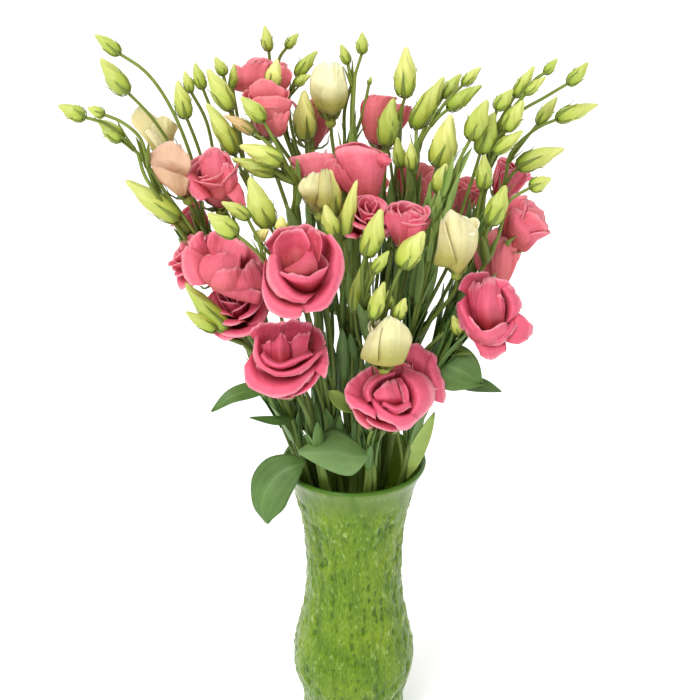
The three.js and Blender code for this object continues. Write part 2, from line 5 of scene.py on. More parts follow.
import bmesh
import bpy
import numpy as np
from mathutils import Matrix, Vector


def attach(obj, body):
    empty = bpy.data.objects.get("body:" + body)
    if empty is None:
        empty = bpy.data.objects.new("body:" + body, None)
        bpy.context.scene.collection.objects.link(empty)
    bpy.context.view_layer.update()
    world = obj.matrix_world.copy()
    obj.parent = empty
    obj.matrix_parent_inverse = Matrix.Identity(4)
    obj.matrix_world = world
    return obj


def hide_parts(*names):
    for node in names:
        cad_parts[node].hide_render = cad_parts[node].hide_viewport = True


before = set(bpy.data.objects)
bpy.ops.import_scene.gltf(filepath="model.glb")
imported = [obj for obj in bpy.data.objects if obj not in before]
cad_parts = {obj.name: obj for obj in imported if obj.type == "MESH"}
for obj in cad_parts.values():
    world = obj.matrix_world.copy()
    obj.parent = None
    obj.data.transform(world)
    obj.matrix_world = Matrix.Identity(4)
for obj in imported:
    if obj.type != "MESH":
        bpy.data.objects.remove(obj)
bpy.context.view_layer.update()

# The viewpoint. The picture is taken from in front and above, tilted 24 degrees down. A place on the
# bouquet is written as (picture x, picture y, depth): depth is the real distance in millimetres behind the
# middle of the vase, negative towards the viewer.
EYE = np.array([-0.0032, -0.9256, 0.7633])
EYE_TILT = math.radians(24)
FOCAL_LENGTH = 1306
PICTURE_SIZE = 700


def place(spot):
    x, y, depth = spot
    across = (x - PICTURE_SIZE / 2) / FOCAL_LENGTH
    up = (PICTURE_SIZE / 2 - y) / FOCAL_LENGTH
    ray = np.array([
        across,
        math.cos(EYE_TILT) + up * math.sin(EYE_TILT),
        up * math.cos(EYE_TILT) - math.sin(EYE_TILT),
    ])
    return EYE + ray * (depth / 1000 - EYE[1]) / ray[1]


def scale_at(point):
    """How many metres one picture unit spans at a place."""
    away = point - EYE
    return (away[1] * math.cos(EYE_TILT) - away[2] * math.sin(EYE_TILT)) / FOCAL_LENGTH


def unit(vector):
    vector = np.asarray(vector, float)
    return vector / np.linalg.norm(vector)


camera = bpy.data.objects.new("camera", bpy.data.cameras.new("camera"))
bpy.context.scene.collection.objects.link(camera)
camera.location = EYE
camera.rotation_euler = (math.pi / 2 - EYE_TILT, 0, 0)
camera.data.lens = camera.data.sensor_width * FOCAL_LENGTH / PICTURE_SIZE
bpy.context.scene.camera = camera

# The floor and the light. A white studio floor 18 m wide under a bright even sky, a wide soft window light
# from the front left, a soft lamp in front of the flowers and a larger one behind them.
FLOOR_HALF = 9
bpy.context.scene.view_settings.view_transform = "Standard"


class Value:
    """A number on a shader socket. Sums on it add the Math nodes."""

    def __init__(self, finish, socket):
        self.finish = finish
        self.socket = socket

    def math(self, operation, *others):
        return self.finish.node("ShaderNodeMath", {"operation": operation}, dict(enumerate((self, *others))))

    def __add__(self, other):
        return self.math("ADD", other)

    def __sub__(self, other):
        return self.math("SUBTRACT", other)

    def __mul__(self, other):
        return self.math("MULTIPLY", other)

    def __truediv__(self, other):
        return self.math("DIVIDE", other)

    __radd__ = __add__
    __rmul__ = __mul__


class Finish:
    """A material with one Principled shader."""

    def __init__(self, name, **fixed):
        self.material = bpy.data.materials.new(name)
        self.material.use_nodes = True
        self.tree = self.material.node_tree
        self.tree.nodes.clear()
        self.shader = self.tree.nodes.new("ShaderNodeBsdfPrincipled")
        output = self.tree.nodes.new("ShaderNodeOutputMaterial")
        self.tree.links.new(self.shader.outputs[0], output.inputs[0])
        for socket, number in fixed.items():
            self.shader.inputs[socket.replace("_", " ").title().replace("Ior", "IOR")].default_value = number

    def node(self, kind, settings, sockets, output=0):
        made = self.tree.nodes.new(kind)
        for key, setting in settings.items():
            if key == "stops":
                ramp = made.color_ramp
                while len(ramp.elements) < len(setting):
                    ramp.elements.new(0.5)
                for element, (at, colour) in zip(ramp.elements, setting):
                    element.position = at
                    element.color = (*colour, 1)
            else:
                setattr(made, key, setting)
        for socket, value in sockets.items():
            if isinstance(value, Value):
                self.tree.links.new(value.socket, made.inputs[socket])
            else:
                made.inputs[socket].default_value = value
        return Value(self, made.outputs[output])

    def paint(self, socket, value):
        self.tree.links.new(value.socket, self.shader.inputs[socket])

    def place(self):
        return self.node("ShaderNodeTexCoord", {}, {}, "Object")

    def uv(self, name):
        """The two numbers of one of the piece's own UV maps."""
        pair = self.node("ShaderNodeUVMap", {"uv_map": name}, {})
        return [self.node("ShaderNodeSeparateXYZ", {}, {0: pair}, axis) for axis in (0, 1)]

    def vector(self, x, y, z=0.0):
        return self.node("ShaderNodeCombineXYZ", {}, {0: x, 1: y, 2: z})

    def noise(self, at, scale, detail):
        return self.node("ShaderNodeTexNoise", {}, {"Vector": at, "Scale": scale, "Detail": detail}, "Fac")

    def stretched_noise(self, at, scales, detail):
        """Noise with a scale of its own along each axis."""
        return self.noise(self.node("ShaderNodeMapping", {}, {"Vector": at, "Scale": scales}), 1, detail)

    def ramp(self, value, *stops):
        return self.node("ShaderNodeValToRGB", {"stops": stops}, {0: value}, "Color")

    def mask(self, value, *stops):
        """A ramp of greys, which says how much of something shows."""
        return self.ramp(value, *((at, (grey, grey, grey)) for at, grey in stops))

    def mix(self, amount, first, second):
        settings = {"data_type": "RGBA", "blend_type": "MIX"}
        sockets = {0: amount, 6: first, 7: second}
        sockets = {k: (*v, 1) if isinstance(v, tuple) else v for k, v in sockets.items()}
        return self.node("ShaderNodeMix", settings, sockets, 2)

    def bump(self, height, strength, distance):
        sockets = {"Height": height, "Strength": strength, "Distance": distance}
        self.paint("Normal", self.node("ShaderNodeBump", {}, sockets))


def add_object(name, shape, *finishes):
    made = bpy.data.objects.new(name, shape)
    bpy.context.scene.collection.objects.link(made)
    for finish in finishes:
        made.data.materials.append(finish.material)
    return made


def shape_of(mesh, name):
    """The finished shape of a mesh that was being built."""
    shape = bpy.data.meshes.new(name)
    mesh.to_mesh(shape)
    mesh.free()
    return shape


studio_white = Finish("studio_white", base_color=(0.93, 0.93, 0.92, 1), roughness=0.9,
                      emission_color=(1, 1, 1, 1), emission_strength=0.2)
mesh = bmesh.new()
bmesh.ops.create_grid(mesh, x_segments=1, y_segments=1, size=FLOOR_HALF)
add_object("studio_floor", shape_of(mesh, "studio_floor"), studio_white)

sky = bpy.data.worlds.new("studio_sky")
sky.use_nodes = True
sky_light = sky.node_tree.nodes["Background"].inputs
sky_light["Color"].default_value = (1, 1, 1, 1)
sky_light["Strength"].default_value = 0.8
bpy.context.scene.world = sky


def add_lamp(name, at, aim, size, power):
    lamp = bpy.data.objects.new(name, bpy.data.lights.new(name, "AREA"))
    lamp.data.shape = "DISK"
    lamp.data.size = size
    lamp.data.energy = power
    lamp.location = at
    towards = Vector(aim) - Vector(at)
    lamp.rotation_euler = towards.to_track_quat("-Z", "Y").to_euler()
    bpy.context.scene.collection.objects.link(lamp)


add_lamp("key_lamp", (-0.8, -1.6, 1.7), (0, 0, 0.4), 0.5, 13)
add_lamp("back_lamp", (0.6, 1.6, 1.8), (0, 0, 0.45), 1.2, 8)
sun = bpy.data.objects.new("window_light", bpy.data.lights.new("window_light", "SUN"))
sun.data.energy = 1.4
sun.data.angle = math.radians(34)
sun.rotation_euler = (math.radians(32), 0, math.radians(-35))
bpy.context.scene.collection.objects.link(sun)

# The vase. Thick yellow-green glass, pressed in a mould: a smooth flared mouth with a rounded lip, and below
# it a wall covered all over in small uneven dimples and pebbles, down to a plain foot.
VASE_HEIGHT = 0.256
WALL = 0.0034
BASE_THICKNESS = 0.010
VASE_OUTLINE = [
    (57.4, 0), (58, 2), (53, 12), (46.5, 34), (41.5, 62), (39.6, 106), (42, 134), (50, 174), (51.2, 189),
    (50, 202), (43.4, 228), (44, 254), (43, 256),
]
PEBBLE_TOP = 0.234
PEBBLE_FOOT = 0.006
PEBBLE_SIZE = (0.0034, 0.0068)
PEBBLE_DEPTH = 0.0020
PEBBLE_SEED = 7
# How far the pebbles are pressed in or stand proud, as a share of PEBBLE_DEPTH.
PEBBLE_HEIGHTS = (-1, 0.55)
# The pebbles are laid out on a plain cylinder of this radius, and lean by so much for each turn in radians.
PEBBLE_GIRTH = 0.045
PEBBLE_SLANT = 0.012
# The outline has a ring at every so many metres, closer together where the pebbles are.
PEBBLED_RING_GAP = 0.0016
PLAIN_RING_GAP = 0.005
VASE_SIDES = 200


def smooth_line(points, steps):
    """A smooth line through the points, with so many steps between one point and the next."""
    points = np.asarray(points, float)
    points = np.vstack([2 * points[0] - points[1], points, 2 * points[-1] - points[-2]])
    s = np.linspace(0, 1, steps, endpoint=False)[:, None]
    line = []
    for before, start, end, after in zip(points, points[1:], points[2:], points[3:]):
        gap = [max(math.dist(a, b), 1e-6) ** 0.5 for a, b in ((before, start), (start, end), (end, after))]
        leave = (start - before) / gap[0] - (end - before) / (gap[0] + gap[1]) + (end - start) / gap[1]
        reach = (end - start) / gap[1] - (after - start) / (gap[1] + gap[2]) + (after - end) / gap[2]
        leave, reach = leave * gap[1], reach * gap[1]
        line.append(start + leave * s + (3 * (end - start) - 2 * leave - reach) * s**2
                    + (2 * (start - end) + leave + reach) * s**3)
    return np.vstack([*line, points[-2:-1]])


def spaced(line, gap):
    """The same line with its points an even gap apart."""
    line = np.asarray(line, float)
    along = np.concatenate([[0], np.cumsum(np.linalg.norm(np.diff(line, axis=0), axis=1))])
    at = np.linspace(0, along[-1], max(2, round(along[-1] / gap) + 1))
    return np.column_stack([np.interp(at, along, column) for column in line.T])


def corners_of(shape):
    corners = np.empty(3 * len(shape.vertices))
    shape.vertices.foreach_get("co", corners)
    return corners.reshape(-1, 3)


def move_corners(shape, corners):
    shape.vertices.foreach_set("co", np.asarray(corners, np.float32).ravel())
    shape.update()


def fade(x, start, end):
    t = np.clip((x - start) / (end - start), 0, 1)
    return t * t * (3 - 2 * t)


outside = [(r / 1000, VASE_HEIGHT - drop / 1000) for r, drop in reversed(VASE_OUTLINE)]
inside = [(r - WALL, z) for r, z in reversed(outside[2:-2])]
outer_profile = spaced(smooth_line(outside, 12), PEBBLED_RING_GAP)
lip = [(0.0558, VASE_HEIGHT + 0.0002), (0.0546, VASE_HEIGHT - 0.0012)]
inner_profile = spaced(smooth_line(lip + inside, 8), PLAIN_RING_GAP)
profile = [(0, 0), (0.02, 0), (0.041, 0.0001), *outer_profile, *inner_profile[:-1],
           (0.038, BASE_THICKNESS), (0.02, BASE_THICKNESS), (0, BASE_THICKNESS)]
mesh = bmesh.new()
rim = [mesh.verts.new((r, 0, z)) for r, z in profile]
edges = [mesh.edges.new(pair) for pair in zip(rim, rim[1:])]
bmesh.ops.spin(mesh, geom=rim + edges, cent=(0, 0, 0), axis=(0, 0, 1), angle=2 * math.pi,
               steps=VASE_SIDES, use_merge=True)
bmesh.ops.remove_doubles(mesh, verts=mesh.verts, dist=1e-6)
bmesh.ops.recalc_face_normals(mesh, faces=mesh.faces)
vase_mesh = shape_of(mesh, "vase_glass")

# Each pebble is the patch round one random centre. It stands proud or is pressed in by its own amount, and
# the pebbles meet in fine grooves.
chance = np.random.default_rng(PEBBLE_SEED)
corners = corners_of(vase_mesh)
radius = np.hypot(corners[:, 0], corners[:, 1])
angle = np.arctan2(corners[:, 1], corners[:, 0])
wall_radius = np.interp(corners[:, 2], outer_profile[:, 1], outer_profile[:, 0])
outer_skin = (radius > wall_radius - 0.0008) & (corners[:, 2] > 0.0015)
relief = np.zeros(len(corners))
rows = np.flatnonzero(outer_skin & (corners[:, 2] < PEBBLE_TOP + 0.004))
count = int(2 * math.pi * PEBBLE_GIRTH * PEBBLE_TOP / (PEBBLE_SIZE[0] * PEBBLE_SIZE[1]))
centres = np.column_stack([chance.uniform(-math.pi, math.pi, count), chance.uniform(0, PEBBLE_TOP, count)])
heights = chance.uniform(*PEBBLE_HEIGHTS, count)
# The corners are taken in batches, because each one is measured against every pebble.
BATCHES = 40
for part in np.array_split(rows, BATCHES):
    turn = angle[part, None] - centres[None, :, 0]
    turn = (turn + math.pi) % (2 * math.pi) - math.pi
    rise = corners[part, 2, None] - centres[None, :, 1]
    away = np.hypot(turn * PEBBLE_GIRTH / PEBBLE_SIZE[0], (rise + turn * PEBBLE_SLANT) / PEBBLE_SIZE[1])
    order = np.argpartition(away, 1, axis=1)[:, :2]
    nearest = np.take_along_axis(away, order, axis=1)
    swap = nearest[:, 0] > nearest[:, 1]
    own = np.where(swap, order[:, 1], order[:, 0])
    dome = np.clip(np.abs(nearest[:, 1] - nearest[:, 0]) * 1.6, 0, 1)
    relief[part] = heights[own] * dome**0.7 * PEBBLE_DEPTH
band = fade(-corners[:, 2], -PEBBLE_TOP - 0.003, -PEBBLE_TOP + 0.012)
band *= fade(corners[:, 2], PEBBLE_FOOT, PEBBLE_FOOT + 0.008)
stretch = 1 + relief * band / np.maximum(radius, 0.01)
corners[:, :2] *= stretch[:, None]
move_corners(vase_mesh, corners)
vase_mesh.shade_smooth()
hollow = vase_mesh.attributes.new("hollow", "FLOAT", "POINT")
hollow.data.foreach_set("value", 0.5 + 0.5 * relief * band / PEBBLE_DEPTH)

green_glass = Finish("green_glass", roughness=0.25, transmission_weight=0.25, ior=1.45,
                     specular_ior_level=0.2)
spot = green_glass.place()
height = green_glass.node("ShaderNodeSeparateXYZ", {}, {0: spot}, 2)
cloud = green_glass.noise(spot, 30, 3)
fleck = green_glass.stretched_noise(spot, (260, 260, 110), 3)
pressed = green_glass.node("ShaderNodeAttribute", {"attribute_name": "hollow"}, {}, 2)
grain = green_glass.stretched_noise(spot, (620, 620, 210), 4)
tone = green_glass.ramp(cloud + 0.9 * (grain - 0.5), (0.3, (0.105, 0.225, 0.005)),
                        (0.7, (0.235, 0.36, 0.018)))
near_lip = (height - 0.2) * 18
tone = green_glass.mix(green_glass.mask(near_lip, (0.45, 0), (0.72, 1)), tone, (0.165, 0.27, 0.04))
# Long soft streaks stand for the stems behind the glass.
streak = green_glass.stretched_noise(spot, (120, 120, 7), 2)
behind = green_glass.mask(streak, (0.48, 0), (0.66, 0.5))
tone = green_glass.mix(behind, tone, (0.075, 0.165, 0.008))
# Painted shade darkens the grooves and a painted highlight lightens the tops of the pebbles, both broken
# up by the grain of the glass.
broken = pressed + 0.5 * (fleck - 0.5) + 0.8 * (grain - 0.5)
groove_shade = green_glass.mask(broken, (0.10, 0.85), (0.36, 0))
tone = green_glass.mix(groove_shade, tone, (0.055, 0.14, 0.0))
pebble_highlight = green_glass.mask(broken, (0.60, 0), (0.84, 0.6))
tone = green_glass.mix(pebble_highlight, tone, (0.50, 0.65, 0.19))
lip_edge = green_glass.mask(near_lip, (0.95, 0), (0.985, 0.9))
green_glass.paint("Base Color", green_glass.mix(lip_edge, tone, (0.07, 0.19, 0.01)))
vase = add_object("vase_glass", vase_mesh, green_glass)
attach(vase, "root")
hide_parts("vase")

# The stems. Cut green stems that stand just above the vase floor in two rings, pass the waist and fan out of
# the mouth. Thin stalks fork off them, each ending in a bud or a bloom, with a pair of bracts at the fork.
# The radius of a main stem at three heights, and of side stems and bare stems from foot to top.
STEM_HEIGHTS = [0, 0.26, 0.56]
STEM_RADII = [0.0021, 0.0020, 0.0012]
SIDE_STEM_RADII = (0.0019, 0.0013)
BARE_STEM_RADII = (0.0021, 0.0014)
# A stem's line has so many steps from one point of its route to the next. The first four points, which are
# inside the vase, stand at RING_HEIGHTS.
STEM_STEPS = 8
# The side stems of a main stem: how many, how far each is turned round the vase in degrees and how much more
# in the inner ring, how far it stands off, where it joins the main stem as a share of that stem's length, and
# how many steps of the main stem it takes at once.
SIDE_STEMS = 4
SIDE_SWING = (5, 13)
INNER_SWING = 1.6
SIDE_GAP = (0.004, 0.009)
SIDE_JOIN = (0.62, 0.92)
SIDE_STRIDE = 6
BARE_SWING = (-9, 9)
BRACT_LENGTH = (0.014, 0.030)
SMALL_LEAF_LENGTH = (0.030, 0.055)
STALK_RADIUS = 0.0011
BLOOM_STALK_RADIUS = 0.0013
CALYX_LENGTH = 0.008
CALYX_RADIUS = 0.0042
RING_HEIGHTS = [0.01035, 0.150, 0.208, VASE_HEIGHT]
OUTER_RING = [0.033, 0.031, 0.035, 0.046]
INNER_RING = [0.021, 0.018, 0.020, 0.028]

# A bud is (tip x, tip y, base x, base y, width, depth) on the picture, followed by its stalk's route.
SPRAYS = {
    "far_left": (OUTER_RING, 188,
        [(262, 360, -2), (225, 285, -2), (190, 232, -8), (167.5, 196, -14), (148.4, 166.7, -18),
         (134.4, 150, -20), (121.6, 140.5, -20)], [
            [(99, 118, 121.6, 140.5, 17, -20)],
            [(58.5, 104.2, 84.6, 118.2, 16, -26), (97.4, 120.8, -26), (111.4, 127.1, -25),
             (134.4, 150, -20)],
            [(86.6, 109, 103.8, 114.4, 11, -32), (121.6, 122, -31), (139.5, 137.3, -28),
             (148.4, 166.7, -20)],
            [(125, 180, 180, 220, 22, -14), (190, 232, -8)],
        ]),
    "peach": (OUTER_RING, 165,
        [(262, 370, 10), (232, 300, 8), (207, 240, 5)], [
            [(96, 33, 119, 54, 14, 4), (144.6, 71, 5), (167.5, 101.6, 8), (192.4, 161.6, 10),
             (207, 240, 5)],
            [(97, 61, 128, 92.7, 20, 12), (152.2, 118.2, 14), (178, 160, 20), (200, 215, 12),
             (212, 252, 6)],
        ]),
    "left_cup": (INNER_RING, 195,
        [(280, 365, -14), (252, 290, -8), (232, 235, 2)], [
            [(178, 80.4, 186, 118, 17, 14), (198.4, 148.2, 18), (210, 190, 20), (224, 218, 7)],
            [(186, 70.5, 190.4, 92, 10, 22), (206.4, 121.4, 26), (218, 180, 28), (232, 235, 2)],
            [(193, 63.4, 202.9, 88.4, 12, 24), (217, 126.8, 30), (230, 190, 26), (238, 250, 0)],
        ]),
    "low_left": (OUTER_RING, 213,
        [(285, 400, -45), (262, 365, -52), (243, 343, -56), (228, 330, -58)], [
            [(181, 288, 228, 330, 20, -60)],
            [(185, 312, 216, 330, 14, -66), (243, 343, -56)],
        ]),
    "front_left": (OUTER_RING, 240,
        [(312, 425, -60), (298, 396, -68)], [
            [(206.6, 213.8, 236.5, 234.8, 20, -96), (249.3, 245, -98), (264.6, 261.6, -92),
             (277, 300, -66), (288, 345, -56), (312, 425, -60)],
            [(222.5, 199.8, 249, 218, 14, -84), (258, 240, -86), (264.6, 261.6, -92)],
        ]),
    "front_middle": (INNER_RING, 235,
        [(328, 400, -42), (318, 350, -56), (308, 315, -70)], [
            [(245, 180, 269.7, 227, 25, -58), (286, 255, -60), (304, 300, -60), (318, 350, -56)],
            [(280, 216, 282, 232, 13, -72), (290, 262, -66), (304, 300, -60)],
            [(269, 230, 256, 239, 12, -76), (268, 252, -72), (290, 270, -64)],
        ]),
    "bud_fan": (INNER_RING, 150,
        [(318, 330, 14), (302, 262, 4), (295.7, 219, -8), (297, 185.8, -16), (283, 163, -22)], [
            [(240.8, 142.4, 283, 163, 20, -22)],
            [(231, 161, 276.5, 173, 16, -12), (294, 180, -14)],
            [(242, 95.3, 263.8, 120.8, 17, -8), (275.3, 142.4, -10), (296, 180, -15)],
            [(227, 111.6, 253.8, 133, 12, -2), (272, 147, -8), (296, 180, -15)],
            [(211, 101, 235, 154, 19, 4), (250, 190, 8), (278, 232, 8), (302, 262, 4)],
            [(207, 69, 231.4, 110, 20, 12), (240, 150, 14), (252, 196, 10)],
            [(218, 55.4, 223.4, 75, 11.6, 26), (232, 110, 28), (243, 160, 22), (254, 198, 10)],
            [(236.8, 63.4, 231.4, 87.5, 9, 34), (238, 120, 34), (246, 170, 22), (256, 200, 10)],
        ]),
    "back_left": (OUTER_RING, 140,
        [(322, 340, 42), (313, 240, 54), (309, 185, 52), (306, 140, 48)], [
            [(300.8, 90.8, 306, 140, 23, 48)],
            [(276.5, 58.3, 271.4, 89, 16, 30), (278, 115, 42), (294, 160, 54), (311, 210, 54)],
            [(263.8, 25.7, 268.9, 50.6, 11.5, 70), (274, 90, 74), (286, 135, 66), (308, 180, 53)],
            [(298, 32.8, 286.7, 47.4, 9.6, 78), (279, 60, 80), (281, 115, 74), (288, 140, 65)],
            [(315.4, 48.7, 297, 76, 13, 58), (289.3, 95.3, 60), (292, 130, 60), (302, 165, 55)],
            [(311, 74.8, 294.4, 83.8, 10, 50), (289.3, 97, 58)],
        ]),
    "back_middle": (OUTER_RING, 113,
        [(348, 330, 40), (350, 250, 46), (350, 190, 48), (351, 142, 48), (351.8, 101.6, 48),
         (354.3, 78.7, 48), (362, 53.2, 48)], [
            [(362.6, 32, 362, 53.2, 12, 48)],
            [(340.3, 44.2, 348, 63.4, 10, 48), (353.2, 88, 48)],
            [(371, 76, 369, 84, 4, 54), (363, 112, 52), (350.6, 150, 48)],
            [(367, 160, 367, 170, 8, 70), (362, 200, 60), (350, 250, 46)],
        ]),
    "centre": (INNER_RING, 272,
        [(352, 400, -38), (352, 330, -46), (348, 275, -46), (345, 238, -44)], [
            [(350, 180, 345, 238, 15, -44)],
            [(324, 205, 334, 236, 17, -56), (348, 262, -47)],
            [(331, 171, 334, 216, 18, -32), (343, 245, -38), (349, 282, -46)],
        ]),
    "back_right": (OUTER_RING, 60,
        [(383, 330, 38), (391, 240, 46), (397, 160, 48), (401, 112, 46), (405, 97, 44)], [
            [(406.8, 47, 405, 97, 22, 44)],
            [(389.6, 97, 386, 146, 21, 26), (392, 175, 38), (393, 215, 47)],
            [(395, 137, 401, 167, 13, 22), (404, 190, 30), (392, 230, 46)],
            [(410, 143, 412, 170, 13, 8), (407, 195, 12), (390, 250, 45)],
        ]),
    "front_buds": (INNER_RING, 305,
        [(374, 405, -36), (372, 360, -54), (364, 300, -72), (362.5, 268, -74), (366, 255, -72)], [
            [(384, 209, 366, 256, 22, -72)],
            [(421, 229, 402, 267, 24, -74), (394, 283, -78), (382, 320, -72), (372, 360, -54)],
            [(388, 251, 374, 272, 12, -84), (368, 290, -76), (365, 310, -69)],
            [(381, 282, 373, 318, 16, -88), (371, 335, -72), (371, 352, -57)],
            [(390, 290, 388, 308, 10, -66), (379, 335, -65)],
            [(404, 296.7, 397.4, 319, 13, -82), (386, 335, -70), (372, 362, -53)],
            [(359, 265.5, 354, 312, 13, -62), (359, 340, -56), (372, 368, -51)],
        ]),
    "front_right": (OUTER_RING, 285,
        [(369, 440, -60), (376, 424, -66)], [
        ]),
    "right_fan": (INNER_RING, 25,
        [(398, 330, 14), (411, 240, 22), (414, 190, 24), (418, 150, 24), (432.7, 123, 24),
         (448, 109, 24)], [
            [(481, 83, 448, 109, 15, 24)],
            [(446, 76, 413, 128, 20, 36), (416, 160, 25)],
            [(460.4, 73, 443, 97, 13, 40), (430, 117, 38), (417, 156, 26)],
            [(481, 66.8, 463, 84.6, 11, 32), (445, 103, 32), (430, 125, 26)],
            [(460.4, 118.6, 436, 166, 27, 6), (430, 190, 14), (411, 240, 22)],
            [(449, 164, 437, 192, 19, -8), (430, 215, 10), (409, 255, 21)],
        ]),
    "right_middle": (INNER_RING, 345,
        [(404, 370, -16), (420, 300, -26), (433, 245, -32), (440, 210, -30), (450.5, 181.7, -24),
         (460, 159, -18), (470, 140, -14)], [
            [(487, 98, 470, 139, 21, -14)],
            [(495, 111.4, 480, 153, 21, -4), (470, 186, -8), (450, 240, -20), (427, 278, -28)],
        ]),
    "far_right": (OUTER_RING, 8,
        [(432, 370, 6), (456, 300, 12), (473, 245, 14), (484, 190, 12), (490, 155, 10), (498, 125, 10),
         (514.6, 96.4, 10)], [
            [(535.2, 66, 514.6, 96.4, 12.5, 10)],
            [(558.4, 59, 545, 73.2, 9, 18), (534.3, 80.4, 18), (518, 104, 14), (497, 128, 10)],
            [(545.9, 75.9, 525.4, 93.8, 10, 2), (514, 107, 6), (497, 128, 10)],
            [(512.9, 89.3, 496, 109, 14, -2), (491, 130, 4), (489, 160, 10)],
            [(523.6, 100, 505.7, 130.4, 18, -4), (497, 146, 4), (487, 174, 11)],
            [(523.6, 130.4, 494, 152.7, 14, -8), (488, 170, 2), (483, 195, 12)],
            [(590.5, 64.7, 568.2, 83.9, 13.5, 26), (543.2, 98.2, 26), (520, 112, 22), (493, 142, 11)],
            [(596.8, 100.9, 556.6, 119.6, 16, 34), (536, 129, 34), (511, 153, 34), (505, 180, 32),
             (488, 235, 26), (456, 300, 12)],
            [(557.5, 96.4, 538, 124, 13, 42), (524, 141, 38), (509, 162, 33)],
            [(562.9, 144.6, 517, 167, 20, 12), (508, 180, 20), (500, 205, 27)],
        ]),
    "right_low": (OUTER_RING, 330,
        [(420, 385, -34), (448, 335, -34), (468, 302, -28), (480, 272, -20), (486, 262, -22)], [
            [(510, 187, 489, 224, 21, -26), (485, 240, -26), (487, 262, -22)],
            [(552, 180, 530, 187, 15, -20), (509, 202, -22), (498, 238, -22), (487, 262, -22)],
            [(489, 155, 482, 189, 17, -12), (477, 225, -14), (482, 262, -20)],
            [(452, 316, 460, 333, 12, -50), (456, 348, -44), (440, 352, -34)],
        ]),
    "back": (OUTER_RING, 88,
        [(352, 340, 66), (348, 315, 78)], [
            [(372, 262, 366, 284, 14, 96), (358, 310, 84), (350, 330, 70)],
        ]),
}
# A bloom is its spray, its middle, the way that it faces, its width and height in millimetres, and the
# route of its stalk.
PINK_BLOOMS = {
    "top_left": ("back_left", (262, 82, 62), (-0.15, 0.35, 0.93), (52, 36), [(308, 182, 53)]),
    "upper_left": ("bud_fan", (267, 112, 24), (0, -0.35, 0.94), (46, 40),
        [(288, 210, 18), (304, 262, 5)]),
    "upper_hidden": ("back_middle", (313, 124, 78), (0.1, 0.35, 0.93), (42, 36), [(350, 232, 47)]),
    "middle": ("centre", (362, 176, -6), (0.12, -0.12, 0.98), (44, 42),
        [(356, 280, -22), (352, 330, -46)]),
    "middle_left": ("centre", (316, 178, 6), (-0.5, 0.1, 0.86), (46, 38),
        [(348, 280, -20), (352, 340, -44)]),
    "upper_right": ("back_right", (384, 123, 64), (0.05, 0.2, 0.98), (40, 38), [(391, 240, 46)]),
    "front_middle": ("front_middle", (303, 277, -104), (0.06, -0.68, 0.73), (62, 42), []),
    "left": ("low_left", (235, 266, -52), (0.05, -0.72, 0.69), (54, 38),
        [(250, 315, -26), (272, 380, -46)]),
    "left_side": ("low_left", (198, 263, -22), (-0.72, -0.3, 0.63), (46, 34),
        [(240, 318, -20), (270, 378, -45)]),
    "left_lower": ("low_left", (238, 310, -48), (-0.2, -0.55, 0.81), (50, 30), [(272, 380, -48)]),
    "left_behind": ("peach", (196, 226, 24), (-0.6, 0.2, 0.77), (34, 30), [(232, 300, 8)]),
    "left_cup": ("left_cup", (216, 183, -8), (-0.1, -0.4, 0.91), (46, 42), []),
    "deep_red": ("front_buds", (366, 220, -34), (0, -0.5, 0.87), (40, 28),
        [(370, 320, -44), (373, 380, -46)]),
    "middle_right": ("front_buds", (407, 226, -36), (0.15, -0.2, 0.97), (38, 34),
        [(390, 330, -42), (374, 400, -38)]),
    "front_left": ("front_left", (285, 366, -98), (-0.04, -0.62, 0.78), (62, 40), []),
    "right_hidden": ("far_right", (509, 182, 52), (0.5, 0.3, 0.81), (34, 30),
        [(476, 262, 22), (456, 300, 12)]),
    "right_side": ("right_low", (523, 227, -2), (0.72, -0.05, 0.69), (42, 38),
        [(488, 284, -10), (464, 308, -29)]),
    "right_behind": ("right_low", (497, 259, 4), (0.3, 0.25, 0.92), (44, 38), [(450, 335, -34)]),
    "right": ("right_low", (489, 318, -56), (0.2, -0.82, 0.54), (56, 38), [(448, 337, -34)]),
    "front_right": ("front_right", (385, 401, -88), (0.22, -0.55, 0.8), (64, 36), []),
    "right_of_front": ("front_right", (424, 378, -56), (0.5, -0.2, 0.84), (44, 32), [(369, 444, -58)]),
    "narrow_right": ("back_right", (416, 186, 44), (0.1, 0.05, 0.99), (30, 36), [(385, 310, 40)]),
    "far_behind": ("right_fan", (461, 200, 34), (0.3, 0.1, 0.95), (34, 32), [(405, 285, 19)]),
    "back_low": ("back", (306, 268, 116), (-0.35, 0.7, 0.62), (54, 36), []),
    "back_high": ("back", (364, 196, 104), (0.2, 0.6, 0.77), (50, 38), [(358, 262, 96), (352, 340, 66)]),
}

CREAM_BLOOMS = {
    "khaki": ("peach", (157, 136, 30), (-0.5, -0.1, 0.86), (30, 36), [(212, 252, 6)]),
    "peach": ("peach", (174, 172, -8), (-0.35, -0.15, 0.92), (32, 40), []),
    "tall_cream": ("back_middle", (329, 91, 52), (-0.05, -0.1, 0.99), (29, 42),
        [(342, 200, 54), (350, 258, 46)]),
    "folded_cream": ("centre", (312, 190, -40), (-0.25, -0.2, 0.95), (24, 34), [(348, 280, -46)]),
    "yellow_right": ("right_middle", (459, 244, -46), (0.02, -0.15, 0.99), (34, 42), [(410, 345, -21)]),
    "yellow_front": ("front_right", (386, 343, -80), (0.05, -0.1, 0.99), (36, 36),
        [(388, 395, -58), (369, 444, -58)]),
}


def mapped_mesh():
    """An empty mesh with the two maps that the finishes read."""
    mesh = bmesh.new()
    mesh.loops.layers.uv.new("blade")
    mesh.loops.layers.uv.new("tone")
    return mesh


